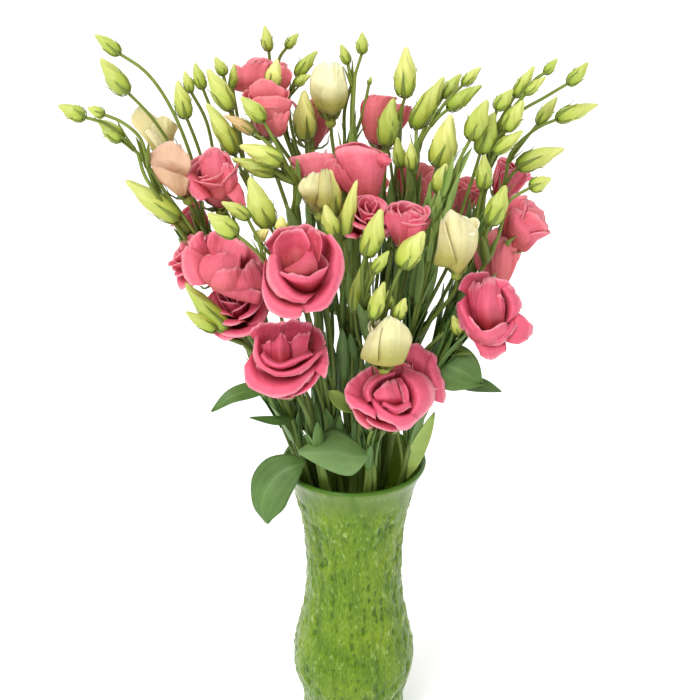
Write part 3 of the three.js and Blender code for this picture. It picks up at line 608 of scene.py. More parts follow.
def grid_sheet(name, across, along, material=0):
    """A flat grid to be bent into a petal, sepal or leaf, with the maps that the finishes read."""
    mesh = mapped_mesh()
    bmesh.ops.create_grid(mesh, x_segments=across, y_segments=along, size=1, calc_uvs=True)
    sheet = shape_of(mesh, name)
    sheet.polygons.foreach_set("material_index", [material] * len(sheet.polygons))
    sheet.shade_smooth()
    flat = corners_of(sheet)
    return sheet, flat[:, 0], (flat[:, 1] + 1) / 2


def add_sheet(mesh, sheet, corners, tone):
    move_corners(sheet, corners)
    sheet.uv_layers["tone"].data.foreach_set("uv", np.tile(tone, len(sheet.loops)))
    mesh.from_mesh(sheet)


def blade(line, facing, u, v, half_width, cup):
    """A grid bent along a line: half_width is given along the line, cup lifts its edges."""
    line = np.asarray(line)
    along = np.linspace(0, 1, len(line))
    middle = np.column_stack([np.interp(v, along, column) for column in line.T])
    slope = np.gradient(line, axis=0)
    slope = np.column_stack([np.interp(v, along, column) for column in slope.T])
    slope /= np.linalg.norm(slope, axis=1, keepdims=True)
    across = np.cross(facing, slope)
    across /= np.linalg.norm(across, axis=1, keepdims=True)
    up = np.cross(slope, across)
    half = np.interp(v, np.linspace(0, 1, len(half_width)), half_width)
    lift = cup * half * u * u if np.isscalar(cup) else cup
    return middle + across * (u * half)[:, None] + up * np.broadcast_to(lift, u.shape)[:, None]


def stem_points(ring, bearing, route):
    turn = math.radians(bearing)
    below = [(r * math.cos(turn), r * math.sin(turn), z) for r, z in zip(ring, RING_HEIGHTS)]
    return [*below, *(place(spot) for spot in route)]


def bloom_base(centre, facing, size):
    axis = unit(facing)
    return axis, place(centre) - axis * size[1] / 2000


def nearest_on(lines, point):
    everywhere = np.vstack(lines)
    return everywhere[np.argmin(np.linalg.norm(everywhere - point, axis=1))]


def frame_across(axis):
    """Two directions across an axis: the first towards the right of the picture."""
    right = unit(np.cross(axis, (0.0, 0.0, 1.0)) if abs(axis[0]) > 0.9 else np.array([1.0, 0, 0]))
    right = unit(right - axis * np.dot(right, axis))
    return right, np.cross(axis, right)


def around(right, up, turn):
    """The direction at a turn about the axis that right and up lie across."""
    return right * math.cos(turn) + up * math.sin(turn)


def along_axes(base, axis, right, up, level, x, y):
    """Corners that lie so far from a base along each of three axes."""
    return base + axis * level[:, None] + right * x[:, None] + up * y[:, None]


ball = mapped_mesh()
bmesh.ops.create_uvsphere(ball, u_segments=30, v_segments=18, radius=1, calc_uvs=True)
bud_sheet = shape_of(ball, "bud_shape")
bud_sheet.polygons.foreach_set("material_index", [1] * len(bud_sheet.polygons))
bud_sheet.shade_smooth()
ball_corners = corners_of(bud_sheet)
ball_angle = np.arctan2(ball_corners[:, 1], ball_corners[:, 0])
ball_height = np.arccos(np.clip(-ball_corners[:, 2], -1, 1)) / math.pi

sepal_sheet, sepal_u, sepal_v = grid_sheet("sepal_shape", 2, 8)
stem_leaf_sheet, stem_leaf_u, stem_leaf_v = grid_sheet("stem_leaf_shape", 4, 10, 2)
SPRAY_SEED = 21
chance = np.random.default_rng(SPRAY_SEED)


def bud_shape(mesh, base, tip, radius, tone):
    """A closed bud: five petals wound round each other, swollen low down and drawn out to a soft point."""
    axis = tip - base
    length = np.linalg.norm(axis)
    axis = axis / length
    right, up = frame_across(axis)
    t = ball_height
    low = np.sqrt(np.clip(1 - (1 - np.minimum(t / 0.34, 1)) ** 2, 0, 1))
    high = np.interp(t, [0.34, 0.5, 0.64, 0.76, 0.86, 0.94, 1], [1, 0.93, 0.74, 0.53, 0.36, 0.25, 0.1])
    swell = np.where(t < 0.34, 0.30 * (t > 0) + 0.70 * low, high)
    swell = np.where((t <= 0) | (t >= 1), 0, swell)
    wound = (ball_angle + chance.uniform(0, 6) + 2.6 * t) * 5 / (2 * math.pi) % 1
    seam = (0.10 + 0.30 * t) * (wound - 0.5) * fade(t, 0.12, 0.4)
    reach = radius * swell * (1 + seam)
    bend = chance.normal(0, 0.07, 2) * length
    corners = along_axes(base, axis, right, up, length * t, reach * np.cos(ball_angle) + bend[0] * t**2,
                         reach * np.sin(ball_angle) + bend[1] * t**2)
    add_sheet(mesh, bud_sheet, corners, tone)
    return axis, right, up, length


SEPALS = 5


def sepal_ring(mesh, base, axis, right, up, radius, length, spread, tone):
    """Five narrow sepals that hug what they hold and end in fine free tips."""
    start = chance.uniform(0, 2 * math.pi)
    for k in range(SEPALS):
        out = around(right, up, start + k * 2 * math.pi / SEPALS + chance.normal(0, 0.12))
        long = length * chance.uniform(0.8, 1.15)
        t = np.linspace(0, 1, 9)
        hug = radius * np.interp(t, [0, 0.12, 0.45, 0.75, 1], [0.28, 0.72, 1.06, 1.0, 1.0 + spread])
        line = base + axis * (long * t - 0.0006)[:, None] + out * hug[:, None]
        half = max(radius * 0.22, 0.0008) * np.array([1, 1, 0.92, 0.78, 0.62, 0.46, 0.3, 0.16, 0.03])
        add_sheet(mesh, sepal_sheet, blade(line, out, sepal_u, sepal_v, half, cup=-0.25), tone)


# Bare stems without a flower that stand between the others: each by its spray, then its way up.
EXTRA_STEMS = {
    "front_middle": [[(334, 380, -50), (326, 296, -52)], [(322, 390, -40), (316, 306, -40)]],
    "centre": [[(350, 370, -30), (341, 262, -14), (336, 200, 0)],
               [(362, 380, -44), (354, 262, -26), (352, 204, -6)],
               [(345, 360, -10), (332, 270, 8), (322, 200, 14)]],
    "front_buds": [[(378, 380, -36), (384, 300, -26), (392, 250, -20)],
                   [(386, 380, -28), (398, 310, -14), (414, 240, -10)]],
    "right_middle": [[(392, 390, -30), (416, 330, -24), (447, 268, -22)],
                     [(398, 392, -20), (426, 330, -8), (456, 272, -4)]],
    "right_low": [[(404, 392, -30), (432, 346, -30), (468, 300, -32)],
                  [(396, 400, -38), (420, 356, -40), (458, 322, -40)]],
    "front_left": [[(318, 420, -50), (304, 388, -52)], [(326, 420, -44), (312, 370, -36), (296, 312, -30)]],
}

# The small leaves of a spray stand between the first two heights. LEAFY_TOPS has the sprays on which they
# go up further.
LOWEST_LEAF = 0.262
HIGHEST_LEAF = 0.43
LEAFY_TOPS = {"bud_fan": 0.54, "right_fan": 0.53, "right_middle": 0.52, "back_left": 0.50, "left_cup": 0.47,
              "front_buds": 0.50, "back_middle": 0.50}
# Half the width that a small leaf keeps at its tip, so that its edges don't meet in flat slivers.
LEAF_TIP = 0.0002
SEPAL_THICKNESS = 0.0004


def grow_spray(name):
    ring, bearing, route, buds = SPRAYS[name]
    stem = smooth_line(stem_points(ring, bearing, route), STEM_STEPS)
    lines = [stem]
    tubes = [(stem, np.interp(stem[:, 2], STEM_HEIGHTS, STEM_RADII))]
    forks = []
    # The side stems run up beside the main stem and join it again below its top.
    for k in range(SIDE_STEMS):
        swing = chance.uniform(*SIDE_SWING) * (-1) ** k * (1 if ring is OUTER_RING else INNER_SWING)
        apart = chance.uniform(*SIDE_GAP) * unit([chance.normal(), chance.normal(), 0.0])
        joins = int(len(stem) * chance.uniform(*SIDE_JOIN))
        low = np.array(stem_points(ring, bearing + swing, []))
        at_mouth = (low[3] + stem[3 * STEM_STEPS]) / 2
        upper = stem[4 * STEM_STEPS:joins:SIDE_STRIDE] + apart
        side_stem = smooth_line([*low[:3], at_mouth, *upper[:-1], stem[joins]], STEM_STEPS)
        tubes.append((side_stem, np.linspace(*SIDE_STEM_RADII, len(side_stem))))

    def add_stalk(points, radius):
        end = nearest_on(lines, points[-1])
        line = smooth_line([*points[:-1], end], STEM_STEPS)
        lines.append(line)
        tubes.append((line, radius * np.linspace(1.12, 1.25, len(line))))
        forks.append((end, line[-6]))

    soft = mapped_mesh()
    sheets = soft.copy()
    for carrier, middle, facing, size, way in [*PINK_BLOOMS.values(), *CREAM_BLOOMS.values()]:
        if carrier != name:
            continue
        axis, base = bloom_base(middle, facing, size)
        foot = base - axis * CALYX_LENGTH
        down = foot - axis * CALYX_LENGTH
        stalk = [place(spot) for spot in way] or [stem[-1]]
        add_stalk([foot + axis * 0.003, down, *stalk], BLOOM_STALK_RADIUS)
        right, up = frame_across(axis)
        t = ball_height
        cup = CALYX_RADIUS * np.clip(np.sin(math.pi * np.clip(t, 0, 0.62)) ** 0.8, 0, 1)
        cup = np.where((t <= 0) | (t >= 1), 0, np.maximum(cup, 0.3 * CALYX_RADIUS))
        corners = along_axes(foot, axis, right, up, t * CALYX_LENGTH * 1.15 - 0.001,
                             cup * np.cos(ball_angle), cup * np.sin(ball_angle))
        add_sheet(soft, bud_sheet, corners, (0.05, 0.0))
        reach = size[0] / 2000
        sepal_ring(sheets, base - axis * 0.001, axis, right, up, max(0.62 * reach, CALYX_RADIUS),
                   size[1] / 2400, 0.1, (0.3, 0))
    for (tip_x, tip_y, base_x, base_y, width, depth), *stalk in buds:
        base, tip = place((base_x, base_y, depth)), place((tip_x, tip_y, depth))
        radius = width * scale_at(base) / 2
        pale, blush = BUD_TONES.get((tip_x, tip_y), (chance.uniform(0.1, 0.5), 0))
        axis, right, up, length = bud_shape(soft, base, tip, radius, (pale, blush))
        sepal_ring(sheets, base, axis, right, up, radius, length * 0.56, 0.25, (0.9, 0.7))
        if stalk:
            add_stalk([base + 0.1 * (tip - base), *(place(spot) for spot in stalk)], STALK_RADIUS)
    for at, towards in forks:
        lean = unit(towards - at)
        right, up = frame_across(lean)
        turn = chance.uniform(0, math.pi)
        for side in (0, math.pi):
            out = around(right, up, turn + side)
            long = chance.uniform(*BRACT_LENGTH)
            t = np.linspace(0, 1, 9)
            line = at + lean * (long * t)[:, None] + out * (0.0015 + 0.16 * long * t**1.5)[:, None]
            half = 0.13 * long * np.array([0.8, 0.95, 1, 0.95, 0.82, 0.66, 0.45, 0.24, 0.03])
            add_sheet(sheets, sepal_sheet, blade(line, out, sepal_u, sepal_v, half, cup=-0.35), (0.9, 0.6))
    for top in EXTRA_STEMS.get(name, []):
        swing = chance.uniform(*BARE_SWING)
        line = smooth_line(stem_points(ring, bearing + swing, top), STEM_STEPS)
        tubes.append((line, np.linspace(*BARE_STEM_RADII, len(line))))
    for line, _ in tubes[:1 + SIDE_STEMS]:
        leafy_top = min(line[-1, 2] - 0.03, LEAFY_TOPS.get(name, HIGHEST_LEAF))
        free = np.flatnonzero((line[:, 2] > LOWEST_LEAF) & (line[:, 2] < leafy_top))
        for at in free[2::8]:
            lean = unit(line[at + 1] - line[at])
            right, up = frame_across(lean)
            turn = chance.uniform(0, math.pi)
            for side in (0, math.pi):
                out = around(right, up, turn + side)
                long = chance.uniform(*SMALL_LEAF_LENGTH) * np.interp(line[at][2], [0.40, 0.50], [1, 0.7])
                t = np.linspace(0, 1, 11)
                path = line[at] + lean * (long * t)[:, None] + out * (0.0018 + long * 0.15 * t**1.5)[:, None]
                half = long * chance.uniform(0.07, 0.11) * np.sin(math.pi * (0.12 + 0.88 * t)) ** 0.8
                half[-1] = LEAF_TIP
                sheet = blade(path, out, stem_leaf_u, stem_leaf_v, half, cup=-0.2)
                fresh = np.interp(line[at][2], [0.36, 0.50], [0, 1])
                add_sheet(sheets, stem_leaf_sheet, sheet, (chance.uniform(0, 0.5) + 0.5 * fresh, 0.6 * fresh))
    bmesh.ops.solidify(sheets, geom=sheets.faces, thickness=SEPAL_THICKNESS)
    soft.from_mesh(shape_of(sheets, f"sepals_{name}"))

    wire = bpy.data.curves.new(f"stems_{name}", "CURVE")
    wire.dimensions = "3D"
    wire.bevel_depth = 1
    wire.bevel_resolution = 2
    wire.use_fill_caps = True
    for line, radii in tubes:
        spline = wire.splines.new("POLY")
        spline.points.add(len(line) - 1)
        spline.points.foreach_set("co", np.column_stack([line, np.ones(len(line))]).ravel())
        spline.points.foreach_set("radius", radii)
    bare = bpy.data.objects.new(f"stems_{name}", wire)
    bpy.context.scene.collection.objects.link(bare)
    tube_mesh = bpy.data.meshes.new_from_object(bare.evaluated_get(bpy.context.evaluated_depsgraph_get()))
    bpy.data.objects.remove(bare)
    tube_mesh.shade_smooth()
    soft.from_mesh(tube_mesh)
    whole = shape_of(soft, f"spray_{name}")
    spray = add_object(f"stems_{name}", whole, stem_green, bud_green, leaf_green)
    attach(spray, "root")
    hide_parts(f"spray_{name}")


# Buds with a colour of their own, by the place of their tip: how pale and how pink they are.
BUD_TONES = {
    (227, 111.6): (0.45, 0.5), (300.8, 90.8): (1.0, 0), (276.5, 58.3): (1.0, 0), (245, 180): (0.45, 0),
    (460.4, 118.6): (0.75, 0), (406.8, 47): (0.7, 0), (222.5, 199.8): (0.4, 0.05), (269, 230): (1.0, 0.1),
    (280, 216): (0.9, 0), (350, 180): (0.7, 0), (331, 171): (0.95, 0.0), (324, 205): (0.6, 0),
    (384, 209): (0.5, 0), (421, 229): (0.55, 0), (449, 164): (0.5, 0), (125, 180): (0.45, 0),
    (596.8, 100.9): (0.45, 0), (562.9, 144.6): (0.5, 0), (207, 69): (0.5, 0), (211, 101): (0.5, 0),
    (240.8, 142.4): (0.6, 0),
}

stem_green = Finish("stem_green", roughness=0.5, specular_ior_level=0.35, subsurface_weight=0.1,
                    subsurface_scale=0.002)
spot = stem_green.place()
height = stem_green.node("ShaderNodeSeparateXYZ", {}, {0: spot}, 2)
# Painted shade and light: the stems are darker low down under the blooms and lighter towards the top.
shade = stem_green.ramp(
    (height - 0.2) / 0.36, (0.0, (0.07, 0.115, 0.014)), (0.35, (0.105, 0.155, 0.018)),
    (0.75, (0.165, 0.215, 0.026)), (1.0, (0.21, 0.26, 0.034)))
fibre = stem_green.stretched_noise(spot, (900, 900, 60), 2)
patch = stem_green.stretched_noise(spot, (120, 120, 7), 1)
shade = stem_green.mix((patch - 0.45) * 2.4, shade, (0.23, 0.32, 0.06))
stem_green.paint("Base Color", stem_green.mix(0.35 * fibre, shade, (0.07, 0.13, 0.03)))
stem_green.bump(fibre, 0.25, 0.0004)

bud_green = Finish("bud_green", roughness=0.45, subsurface_weight=0.12, subsurface_scale=0.003)
turn, along = bud_green.uv("blade")
pale, blush = bud_green.uv("tone")
wound = bud_green.node("ShaderNodeMath", {"operation": "FRACT"}, {0: 5 * turn + 2.07 * along})
green_bud = bud_green.ramp(
    along, (0.0, (0.17, 0.28, 0.015)), (0.25, (0.31, 0.42, 0.035)), (0.6, (0.37, 0.46, 0.06)),
    (1.0, (0.43, 0.50, 0.09)))
pale_bud = bud_green.ramp(
    along, (0.0, (0.30, 0.42, 0.03)), (0.25, (0.60, 0.64, 0.11)), (0.6, (0.80, 0.78, 0.23)),
    (1.0, (0.90, 0.85, 0.35)))
shade = bud_green.mix(pale, green_bud, pale_bud)
shade = bud_green.mix(blush, shade, (0.72, 0.25, 0.24))
seam = bud_green.mask(wound, (0.0, 0.35), (0.08, 0), (0.9, 0), (1.0, 0.25))
shade = bud_green.mix(seam, shade, (0.24, 0.37, 0.03))
vein = bud_green.noise(bud_green.vector(60 * turn, 3 * along), 1, 3)
bud_green.paint("Base Color", bud_green.mix(0.3 * vein, shade, bud_green.mix(0.5, shade, (0.2, 0.36, 0.04))))
bud_green.bump(vein, 0.15, 0.0004)

leaf_green = Finish("leaf_green", roughness=0.5, specular_ior_level=0.35)
across, along = leaf_green.uv("blade")
tint, yellow = leaf_green.uv("tone")
side = leaf_green.node("ShaderNodeMath", {"operation": "ABSOLUTE"}, {0: across - 0.5})
rib = leaf_green.mask(side, (0.0, 1), (0.03, 0.2), (0.05, 0))
lines = leaf_green.node("ShaderNodeMath", {"operation": "PINGPONG"}, {0: side - 0.10 * along, 1: 0.09})
fine = leaf_green.mask(lines, (0.0, 0.6), (0.16, 0))
cloud = leaf_green.noise(leaf_green.place(), 70, 3)
dark = leaf_green.ramp(cloud, (0.3, (0.045, 0.105, 0.012)), (0.7, (0.075, 0.155, 0.022)))
pale = leaf_green.ramp(cloud, (0.3, (0.12, 0.22, 0.062)), (0.7, (0.17, 0.28, 0.082)))
lime = leaf_green.ramp(cloud, (0.3, (0.30, 0.42, 0.06)), (0.7, (0.42, 0.52, 0.11)))
shade = leaf_green.mix(yellow, leaf_green.mix(tint, dark, pale), lime)
shade = leaf_green.mix(0.35 * leaf_green.node("ShaderNodeRGBToBW", {}, {0: rib}), shade, (0.22, 0.38, 0.12))
shade = leaf_green.mix(0.25 * leaf_green.node("ShaderNodeRGBToBW", {}, {0: fine}), shade, (0.22, 0.38, 0.14))
leaf_green.paint("Base Color", shade)
leaf_green.bump(cloud, 0.2, 0.0006)

for name in SPRAYS:
    grow_spray(name)

# The blooms. Double flowers like small roses: whorls of broad thin petals, each petal lapping over the next
# one, the outer ones rolled back at the rim and the inner ones wound into a cone.
PETAL_THICKNESS = 0.00045
# A petal starts at most this far from the axis of its bloom, and each whorl is turned by so many degrees.
PETAL_FOOT = 0.0032
WHORL_TURN = 47
PINK_RUFFLE = 0.035
CREAM_RUFFLE = 0.012

# A whorl is how many petals, their reach and height as a share of the bloom's, the way that a petal leans at
# its foot, middle and tip in degrees from the axis, and half the angle that a petal spans.
OPEN = [
    (5, 1.04, 0.60, (80, 60, 108), 51), (4, 0.84, 0.84, (64, 34, 102), 60),
    (3, 0.62, 0.98, (54, 14, 82), 72), (3, 0.42, 1.04, (48, 2, 44), 80), (2, 0.22, 1.06, (44, -6, 10), 95),
]
HALF_OPEN = [
    (4, 1.00, 0.92, (66, 18, 76), 58), (4, 0.84, 0.98, (56, 8, 56), 60), (3, 0.62, 1.03, (50, 0, 34), 74),
    (2, 0.36, 1.00, (44, -8, 10), 92),
]
ROLLED = [
    (3, 1.00, 0.93, (64, 4, 4), 74), (3, 0.86, 1.00, (56, -4, -6), 80), (2, 0.56, 1.0, (48, -10, 0), 95),
]

# The petals that face the viewer, bloom by bloom: the way the bloom's face looks, how far that face stands
# in front of the bloom's middle in millimetres, then each petal as how much painted shade darkens it, from 0
# for none upwards (for the cream blooms it also turns them yellow-green), and rows of points from its foot to
# its edge. A point is (picture x, picture y, steps behind the face).
DRAWN = {
    "front_middle": ((0.06, -0.68, 0.73), 12, [
        (0.5, [[(285, 275, 18), (292, 272, 18), (300, 270, 18), (308, 270, 18), (315, 272, 18)],
            [(270, 252, 12), (283, 245, 12), (298, 242, 12), (312, 243, 12), (326, 250, 12)],
            [(263, 241, 5), (276, 230, 4), (292, 226, 4), (306, 223, 4), (331, 236, 5)]]),
        (0.3, [[(281, 268, 8), (288, 265, 9), (296, 262, 10), (304, 259, 8)],
            [(275, 257, 4), (286, 252, 8), (298, 250, 9), (309, 251, 4)],
            [(273, 246, 2), (284, 240, 4), (297, 238, 5), (310, 243, 0)],
            [(277, 237, 1), (287, 230, 1), (297, 228, 1), (305, 231, 0)]]),
        (0.4, [[(313, 262, 6), (315, 264, 5), (317, 266, 3)], [(312, 250, 7), (317, 250, 6), (321, 252, 1)],
            [(309, 238, 5), (316, 238, 4), (322, 242, 0)], [(307, 229, 2), (313, 228, 1), (319, 233, 0)]]),
        (0.2, [
            [(322, 236, 14), (326, 250, 16), (326, 264, 14), (322, 280, 12), (312, 293, 12), (298, 300, 12)],
            [(326, 236, 4), (334, 250, 4), (334, 266, 3), (331, 284, 3), (320, 300, 3), (302, 306, 4)],
            [(332, 235, 3), (342, 250, 4), (345, 272, 5), (337, 292, 6), (327, 308, 6), (306, 314, 6)]]),
        (0.15, [[(268, 260, 10), (272, 285, 10), (281, 296, 8), (294, 302, 7), (306, 302, 9)],
            [(264, 266, 3), (266, 288, 3), (275, 303, 2), (291, 310, 1), (303, 309, 3)],
            [(264, 270, 3), (262, 292, 5), (271, 314, 6), (288, 318, 6), (301, 319, 6)]]),
        (0.2, [[(284, 260, 12), (287, 274, 14), (294, 286, 16), (306, 293, 16), (318, 290, 14)],
            [(275, 254, 0), (278, 272, -2), (285, 284, -2), (295, 295, -2), (309, 299, 0)],
            [(267, 258, 3), (266, 276, 2), (273, 292, 2), (286, 301, 2), (304, 304, 3)]]),
        (0.4, [[(284, 271, -1), (294, 276, -3), (306, 276, -3), (317, 271, -1)],
            [(288, 267, 0), (298, 265, -3), (308, 264, -4), (317, 262, 0)],
            [(302, 259, 5), (306, 254, 4), (310, 252, 4), (314, 254, 5)],
            [(304, 252, 9), (308, 246, 9), (311, 244, 9), (315, 247, 9)]]),
        (0.3, [[(290, 288, 12), (300, 293, 11), (310, 293, 11), (320, 286, 12)],
            [(285, 279, 3), (296, 284, 0), (310, 284, 0), (323, 277, 3)],
            [(281, 274, -4), (294, 280, -7), (308, 280, -7), (326, 271, -4)],
            [(279, 270, -2), (292, 274, -5), (307, 275, -5), (329, 266, -2)]]),
    ]),
    "front_left": ((-0.04, -0.62, 0.78), 11, [
        (0.15, [
            [(256, 350, 14), (262, 366, 14), (275, 373, 14), (292, 373, 14), (306, 366, 14), (320, 356, 12)],
            [(248, 360, 6), (256, 378, 6), (272, 386, 5), (291, 384, 5), (305, 374, 6), (318, 364, 7)],
            [(243, 366, 6), (247, 386, 7), (270, 398, 7), (291, 395, 7), (307, 381, 7), (315, 373, 8)]]),
        (0.25, [[(312, 350, 10), (314, 358, 10), (312, 366, 10)],
            [(320, 348, 4), (322, 361, 5), (316, 371, 6)], [(327, 346, 4), (329, 362, 6), (327, 379, 8)]]),
        (0.5, [[(258, 352, 16), (268, 350, 17), (280, 350, 17)],
            [(255, 341, 8), (266, 334, 9), (284, 333, 10)], [(246, 331, 3), (262, 323, 3), (286, 320, 3)]]),
        (0.5, [[(280, 350, 17), (294, 350, 17), (306, 350, 14)],
            [(280, 333, 10), (296, 332, 9), (310, 338, 8)], [(280, 321, 2), (298, 320, 2), (313, 322, 2)]]),
        (0.55, [[(308, 345, 14), (309, 350, 14), (311, 354, 12)],
            [(310, 336, 10), (315, 342, 9), (317, 349, 8)], [(310, 323, 3), (322, 332, 2), (327, 345, 3)]]),
        (0.2, [
            [(262, 344, 10), (265, 358, 10), (272, 366, 10), (284, 369, 10), (300, 364, 10), (314, 352, 9)],
            [(258, 336, 0), (257, 352, -2), (264, 366, -3), (280, 373, -3), (300, 368, -2), (326, 347, 0)],
            [(254, 339, 5), (253, 355, 4), (260, 369, 3), (279, 377, 3), (302, 372, 3), (326, 351, 4)]]),
        (0.5, [[(264, 358, 10), (270, 360, 9), (276, 360, 8)], [(261, 351, 6), (267, 348, 5), (274, 348, 5)],
            [(262, 345, 5), (267, 342, 4), (274, 340, 4)]]),
        (0.4, [[(289, 360, 6), (297, 358, 6), (307, 354, 5)], [(290, 348, 6), (299, 344, 5), (308, 343, 2)],
            [(291, 339, 5), (301, 333, 4), (311, 331, 1)]]),
        (0.35, [[(274, 362, 4), (281, 363, 0), (289, 362, 3)],
            [(271, 352, 4), (280, 351, -2), (290, 352, 3)], [(273, 343, 4), (281, 341, -1), (288, 343, 3)],
            [(280, 335, 3), (282, 332, 2), (284, 335, 3)]]),
        (0.1, [[(266, 350, 10), (273, 358, 10), (284, 361, 10), (296, 357, 10), (306, 352, 10)],
            [(262, 353, -3), (269, 361, -5), (280, 365, -6), (294, 360, -5), (312, 353, -3)],
            [(260, 356, 1), (266, 366, 0), (280, 369, 0), (296, 365, 0), (313, 356, 1)]]),
    ]),
    "front_right": ((0.22, -0.55, 0.8), 9, [
        (0.3, [[(368, 400, 9), (372, 391, 9), (382, 384, 9)], [(355, 398, 5), (360, 385, 4), (374, 374, 5)],
            [(342, 391, 4), (353, 377, 2), (372, 365, 4)]]),
        (0.2, [[(380, 384, 10), (392, 380, 10), (404, 380, 10)],
            [(375, 372, 5), (392, 369, 4), (409, 371, 5)], [(371, 364, 4), (391, 361, 3), (412, 364, 4)]]),
        (0.0, [[(366, 397, 10), (374, 403, 10), (382, 409, 10)],
            [(353, 396, 2), (363, 404, 0), (376, 412, 2)], [(342, 390, 4), (351, 407, 4), (377, 419, 5)]]),
        (0.0, [[(396, 379, 10), (402, 391, 10), (406, 402, 10), (403, 412, 10)],
            [(401, 372, 1), (415, 386, -2), (418, 402, -2), (410, 417, 1)],
            [(404, 364, 4), (430, 378, 5), (434, 402, 5), (414, 425, 5)]]),
        (0.0, [[(384, 405, 10), (392, 410, 10), (402, 413, 10), (412, 409, 10)],
            [(372, 399, 0), (384, 411, -2), (399, 418, -2), (414, 415, 0)],
            [(378, 418, 4), (391, 425, 4), (406, 430, 5), (421, 420, 5)]]),
        (0.1, [[(394, 382, 11), (385, 387, 11), (379, 394, 11), (380, 403, 11)],
            [(395, 373, -1), (380, 379, -2), (369, 390, -2), (371, 401, -1)],
            [(396, 369, 3), (377, 373, 3), (363, 387, 3), (366, 403, 3)]]),
        (0.2, [[(380, 407, 8), (391, 409, 8), (402, 406, 8)], [(375, 399, 1), (388, 398, -3), (401, 396, 0)],
            [(373, 393, 0), (384, 383, -3), (395, 376, -1)]]),
        (0.2, [[(404, 398, 7), (402, 390, 7), (398, 382, 7)], [(409, 402, 0), (408, 390, -2), (401, 378, 0)],
            [(405, 408, 2), (401, 396, 1), (395, 377, 2)]]),
        (0.1, [[(388, 403, 7), (397, 405, 7), (406, 400, 7)],
            [(383, 402, -2), (396, 408, -4), (410, 402, -2)],
            [(382, 407, 0), (397, 414, -1), (413, 407, 0)]]),
    ]),
    "right": ((0.2, -0.82, 0.54), 11, [
        (0.45, [[(470, 300, 12), (480, 290, 12), (492, 286, 12)],
            [(463, 292, 6), (473, 280, 6), (490, 277, 7)], [(457, 290, 4), (466, 275, 3), (488, 270, 3)]]),
        (0.35, [[(490, 298, 10), (502, 302, 10), (506, 314, 10)],
            [(492, 285, 5), (508, 292, 3), (515, 310, 4)], [(492, 274, 4), (514, 287, 3), (523, 308, 4)]]),
        (0.2, [[(506, 314, 8), (504, 326, 8), (500, 338, 8)], [(516, 312, 4), (517, 330, 3), (509, 343, 5)],
            [(524, 315, 6), (534, 332, 7), (521, 345, 7)]]),
        (0.3, [[(472, 330, 8), (486, 338, 8), (504, 340, 8)], [(474, 342, 6), (488, 349, 4), (506, 346, 6)],
            [(480, 353, 8), (489, 361, 8), (505, 353, 8)]]),
        (0.25, [
            [(470, 294, 12), (472, 310, 12), (477, 322, 12), (486, 330, 12), (499, 328, 12), (508, 318, 10)],
            [(460, 301, -1), (466, 315, -3), (474, 328, -3), (486, 337, -3), (501, 337, -2), (514, 322, 0)],
            [(456, 304, 4), (460, 322, 4), (469, 336, 4), (484, 345, 4), (503, 344, 4), (517, 327, 4)]]),
        (0.8, [[(474, 322, 9), (478, 324, 8), (482, 328, 6)], [(469, 304, 8), (475, 305, 4), (480, 308, 3)],
            [(468, 287, 6), (474, 280, 4), (481, 284, 3)]]),
        (0.35, [[(501, 326, 7), (504, 316, 7), (503, 304, 7), (498, 290, 7)],
            [(509, 322, 2), (512, 312, 1), (511, 300, 1), (502, 287, 3)],
            [(515, 318, 3), (521, 308, 3), (519, 295, 3), (506, 284, 4)]]),
        (0.2, [[(481, 327, 5), (490, 331, 1), (503, 326, 4)], [(476, 312, 1), (488, 313, -5), (504, 312, 1)],
            [(477, 296, 2), (488, 295, -4), (502, 297, 2)], [(481, 280, 5), (489, 276, 3), (499, 281, 5)]]),
        (0.2, [[(492, 326, 5), (498, 324, 4), (503, 320, 5)], [(494, 311, 2), (500, 309, -1), (505, 308, 2)],
            [(493, 297, 2), (499, 294, -1), (504, 296, 3)]]),
        (0.1, [[(472, 339, 4), (489, 345, 2), (508, 338, 4)],
            [(469, 328, -1), (487, 337, -6), (509, 329, -1)],
            [(466, 313, -1), (484, 330, -8), (506, 320, -2)]]),
    ]),
    "left": ((0.05, -0.72, 0.69), 11, [
        (0.2, [[(214, 250, 9), (208, 258, 9), (206, 266, 9)], [(204, 240, 5), (197, 250, 4), (198, 264, 5)],
            [(204, 230, 4), (190, 238, 3), (189, 256, 4)]]),
        (0.15, [[(214, 262, 8), (212, 272, 8), (216, 281, 8)], [(196, 250, 3), (195, 268, 0), (204, 285, 3)],
            [(184, 244, 4), (181, 266, 4), (187, 286, 5)]]),
        (0.2, [[(216, 262, 6), (228, 266, 6), (243, 264, 6)], [(207, 244, 0), (226, 250, 3), (247, 256, 1)],
            [(211, 230, 0), (230, 235, 2), (250, 247, 0)]]),
        (0.9, [[(240, 296, 8), (253, 296, 7), (264, 288, 8)], [(240, 284, 3), (254, 280, 2), (267, 272, 4)],
            [(247, 268, 1), (257, 262, 0), (266, 257, 3)]]),
        (0.1, [[(214, 289, 4), (225, 291, 3), (240, 288, 5)],
            [(200, 275, -1), (219, 275, -5), (240, 272, -1)], [(201, 260, 2), (220, 259, -2), (241, 258, 1)],
            [(210, 253, 4), (225, 253, 1), (241, 253, 3)]]),
        (0.3, [[(212, 288, 1), (226, 291, -2), (240, 289, 1)],
            [(212, 279, -5), (226, 280, -9), (242, 279, -4)],
            [(216, 271, -6), (229, 268, -10), (241, 266, -5)]]),
        (0.85, [[(222, 290, 1), (240, 292, 1), (262, 291, 4)],
            [(224, 281, -3), (246, 283, -5), (265, 280, 1)],
            [(232, 278, -3), (243, 268, -5), (252, 256, -1)]]),
        (0.8, [[(214, 290, 7), (232, 298, 6), (256, 304, 8)], [(212, 288, 2), (232, 293, 0), (260, 298, 3)],
            [(216, 284, 0), (236, 286, -3), (262, 290, 1)]]),
    ]),
    "left_cup": ((-0.05, -0.9, 0.43), 19, [
        (0.5, [[(205, 190, 12), (218, 192, 12), (232, 188, 12)],
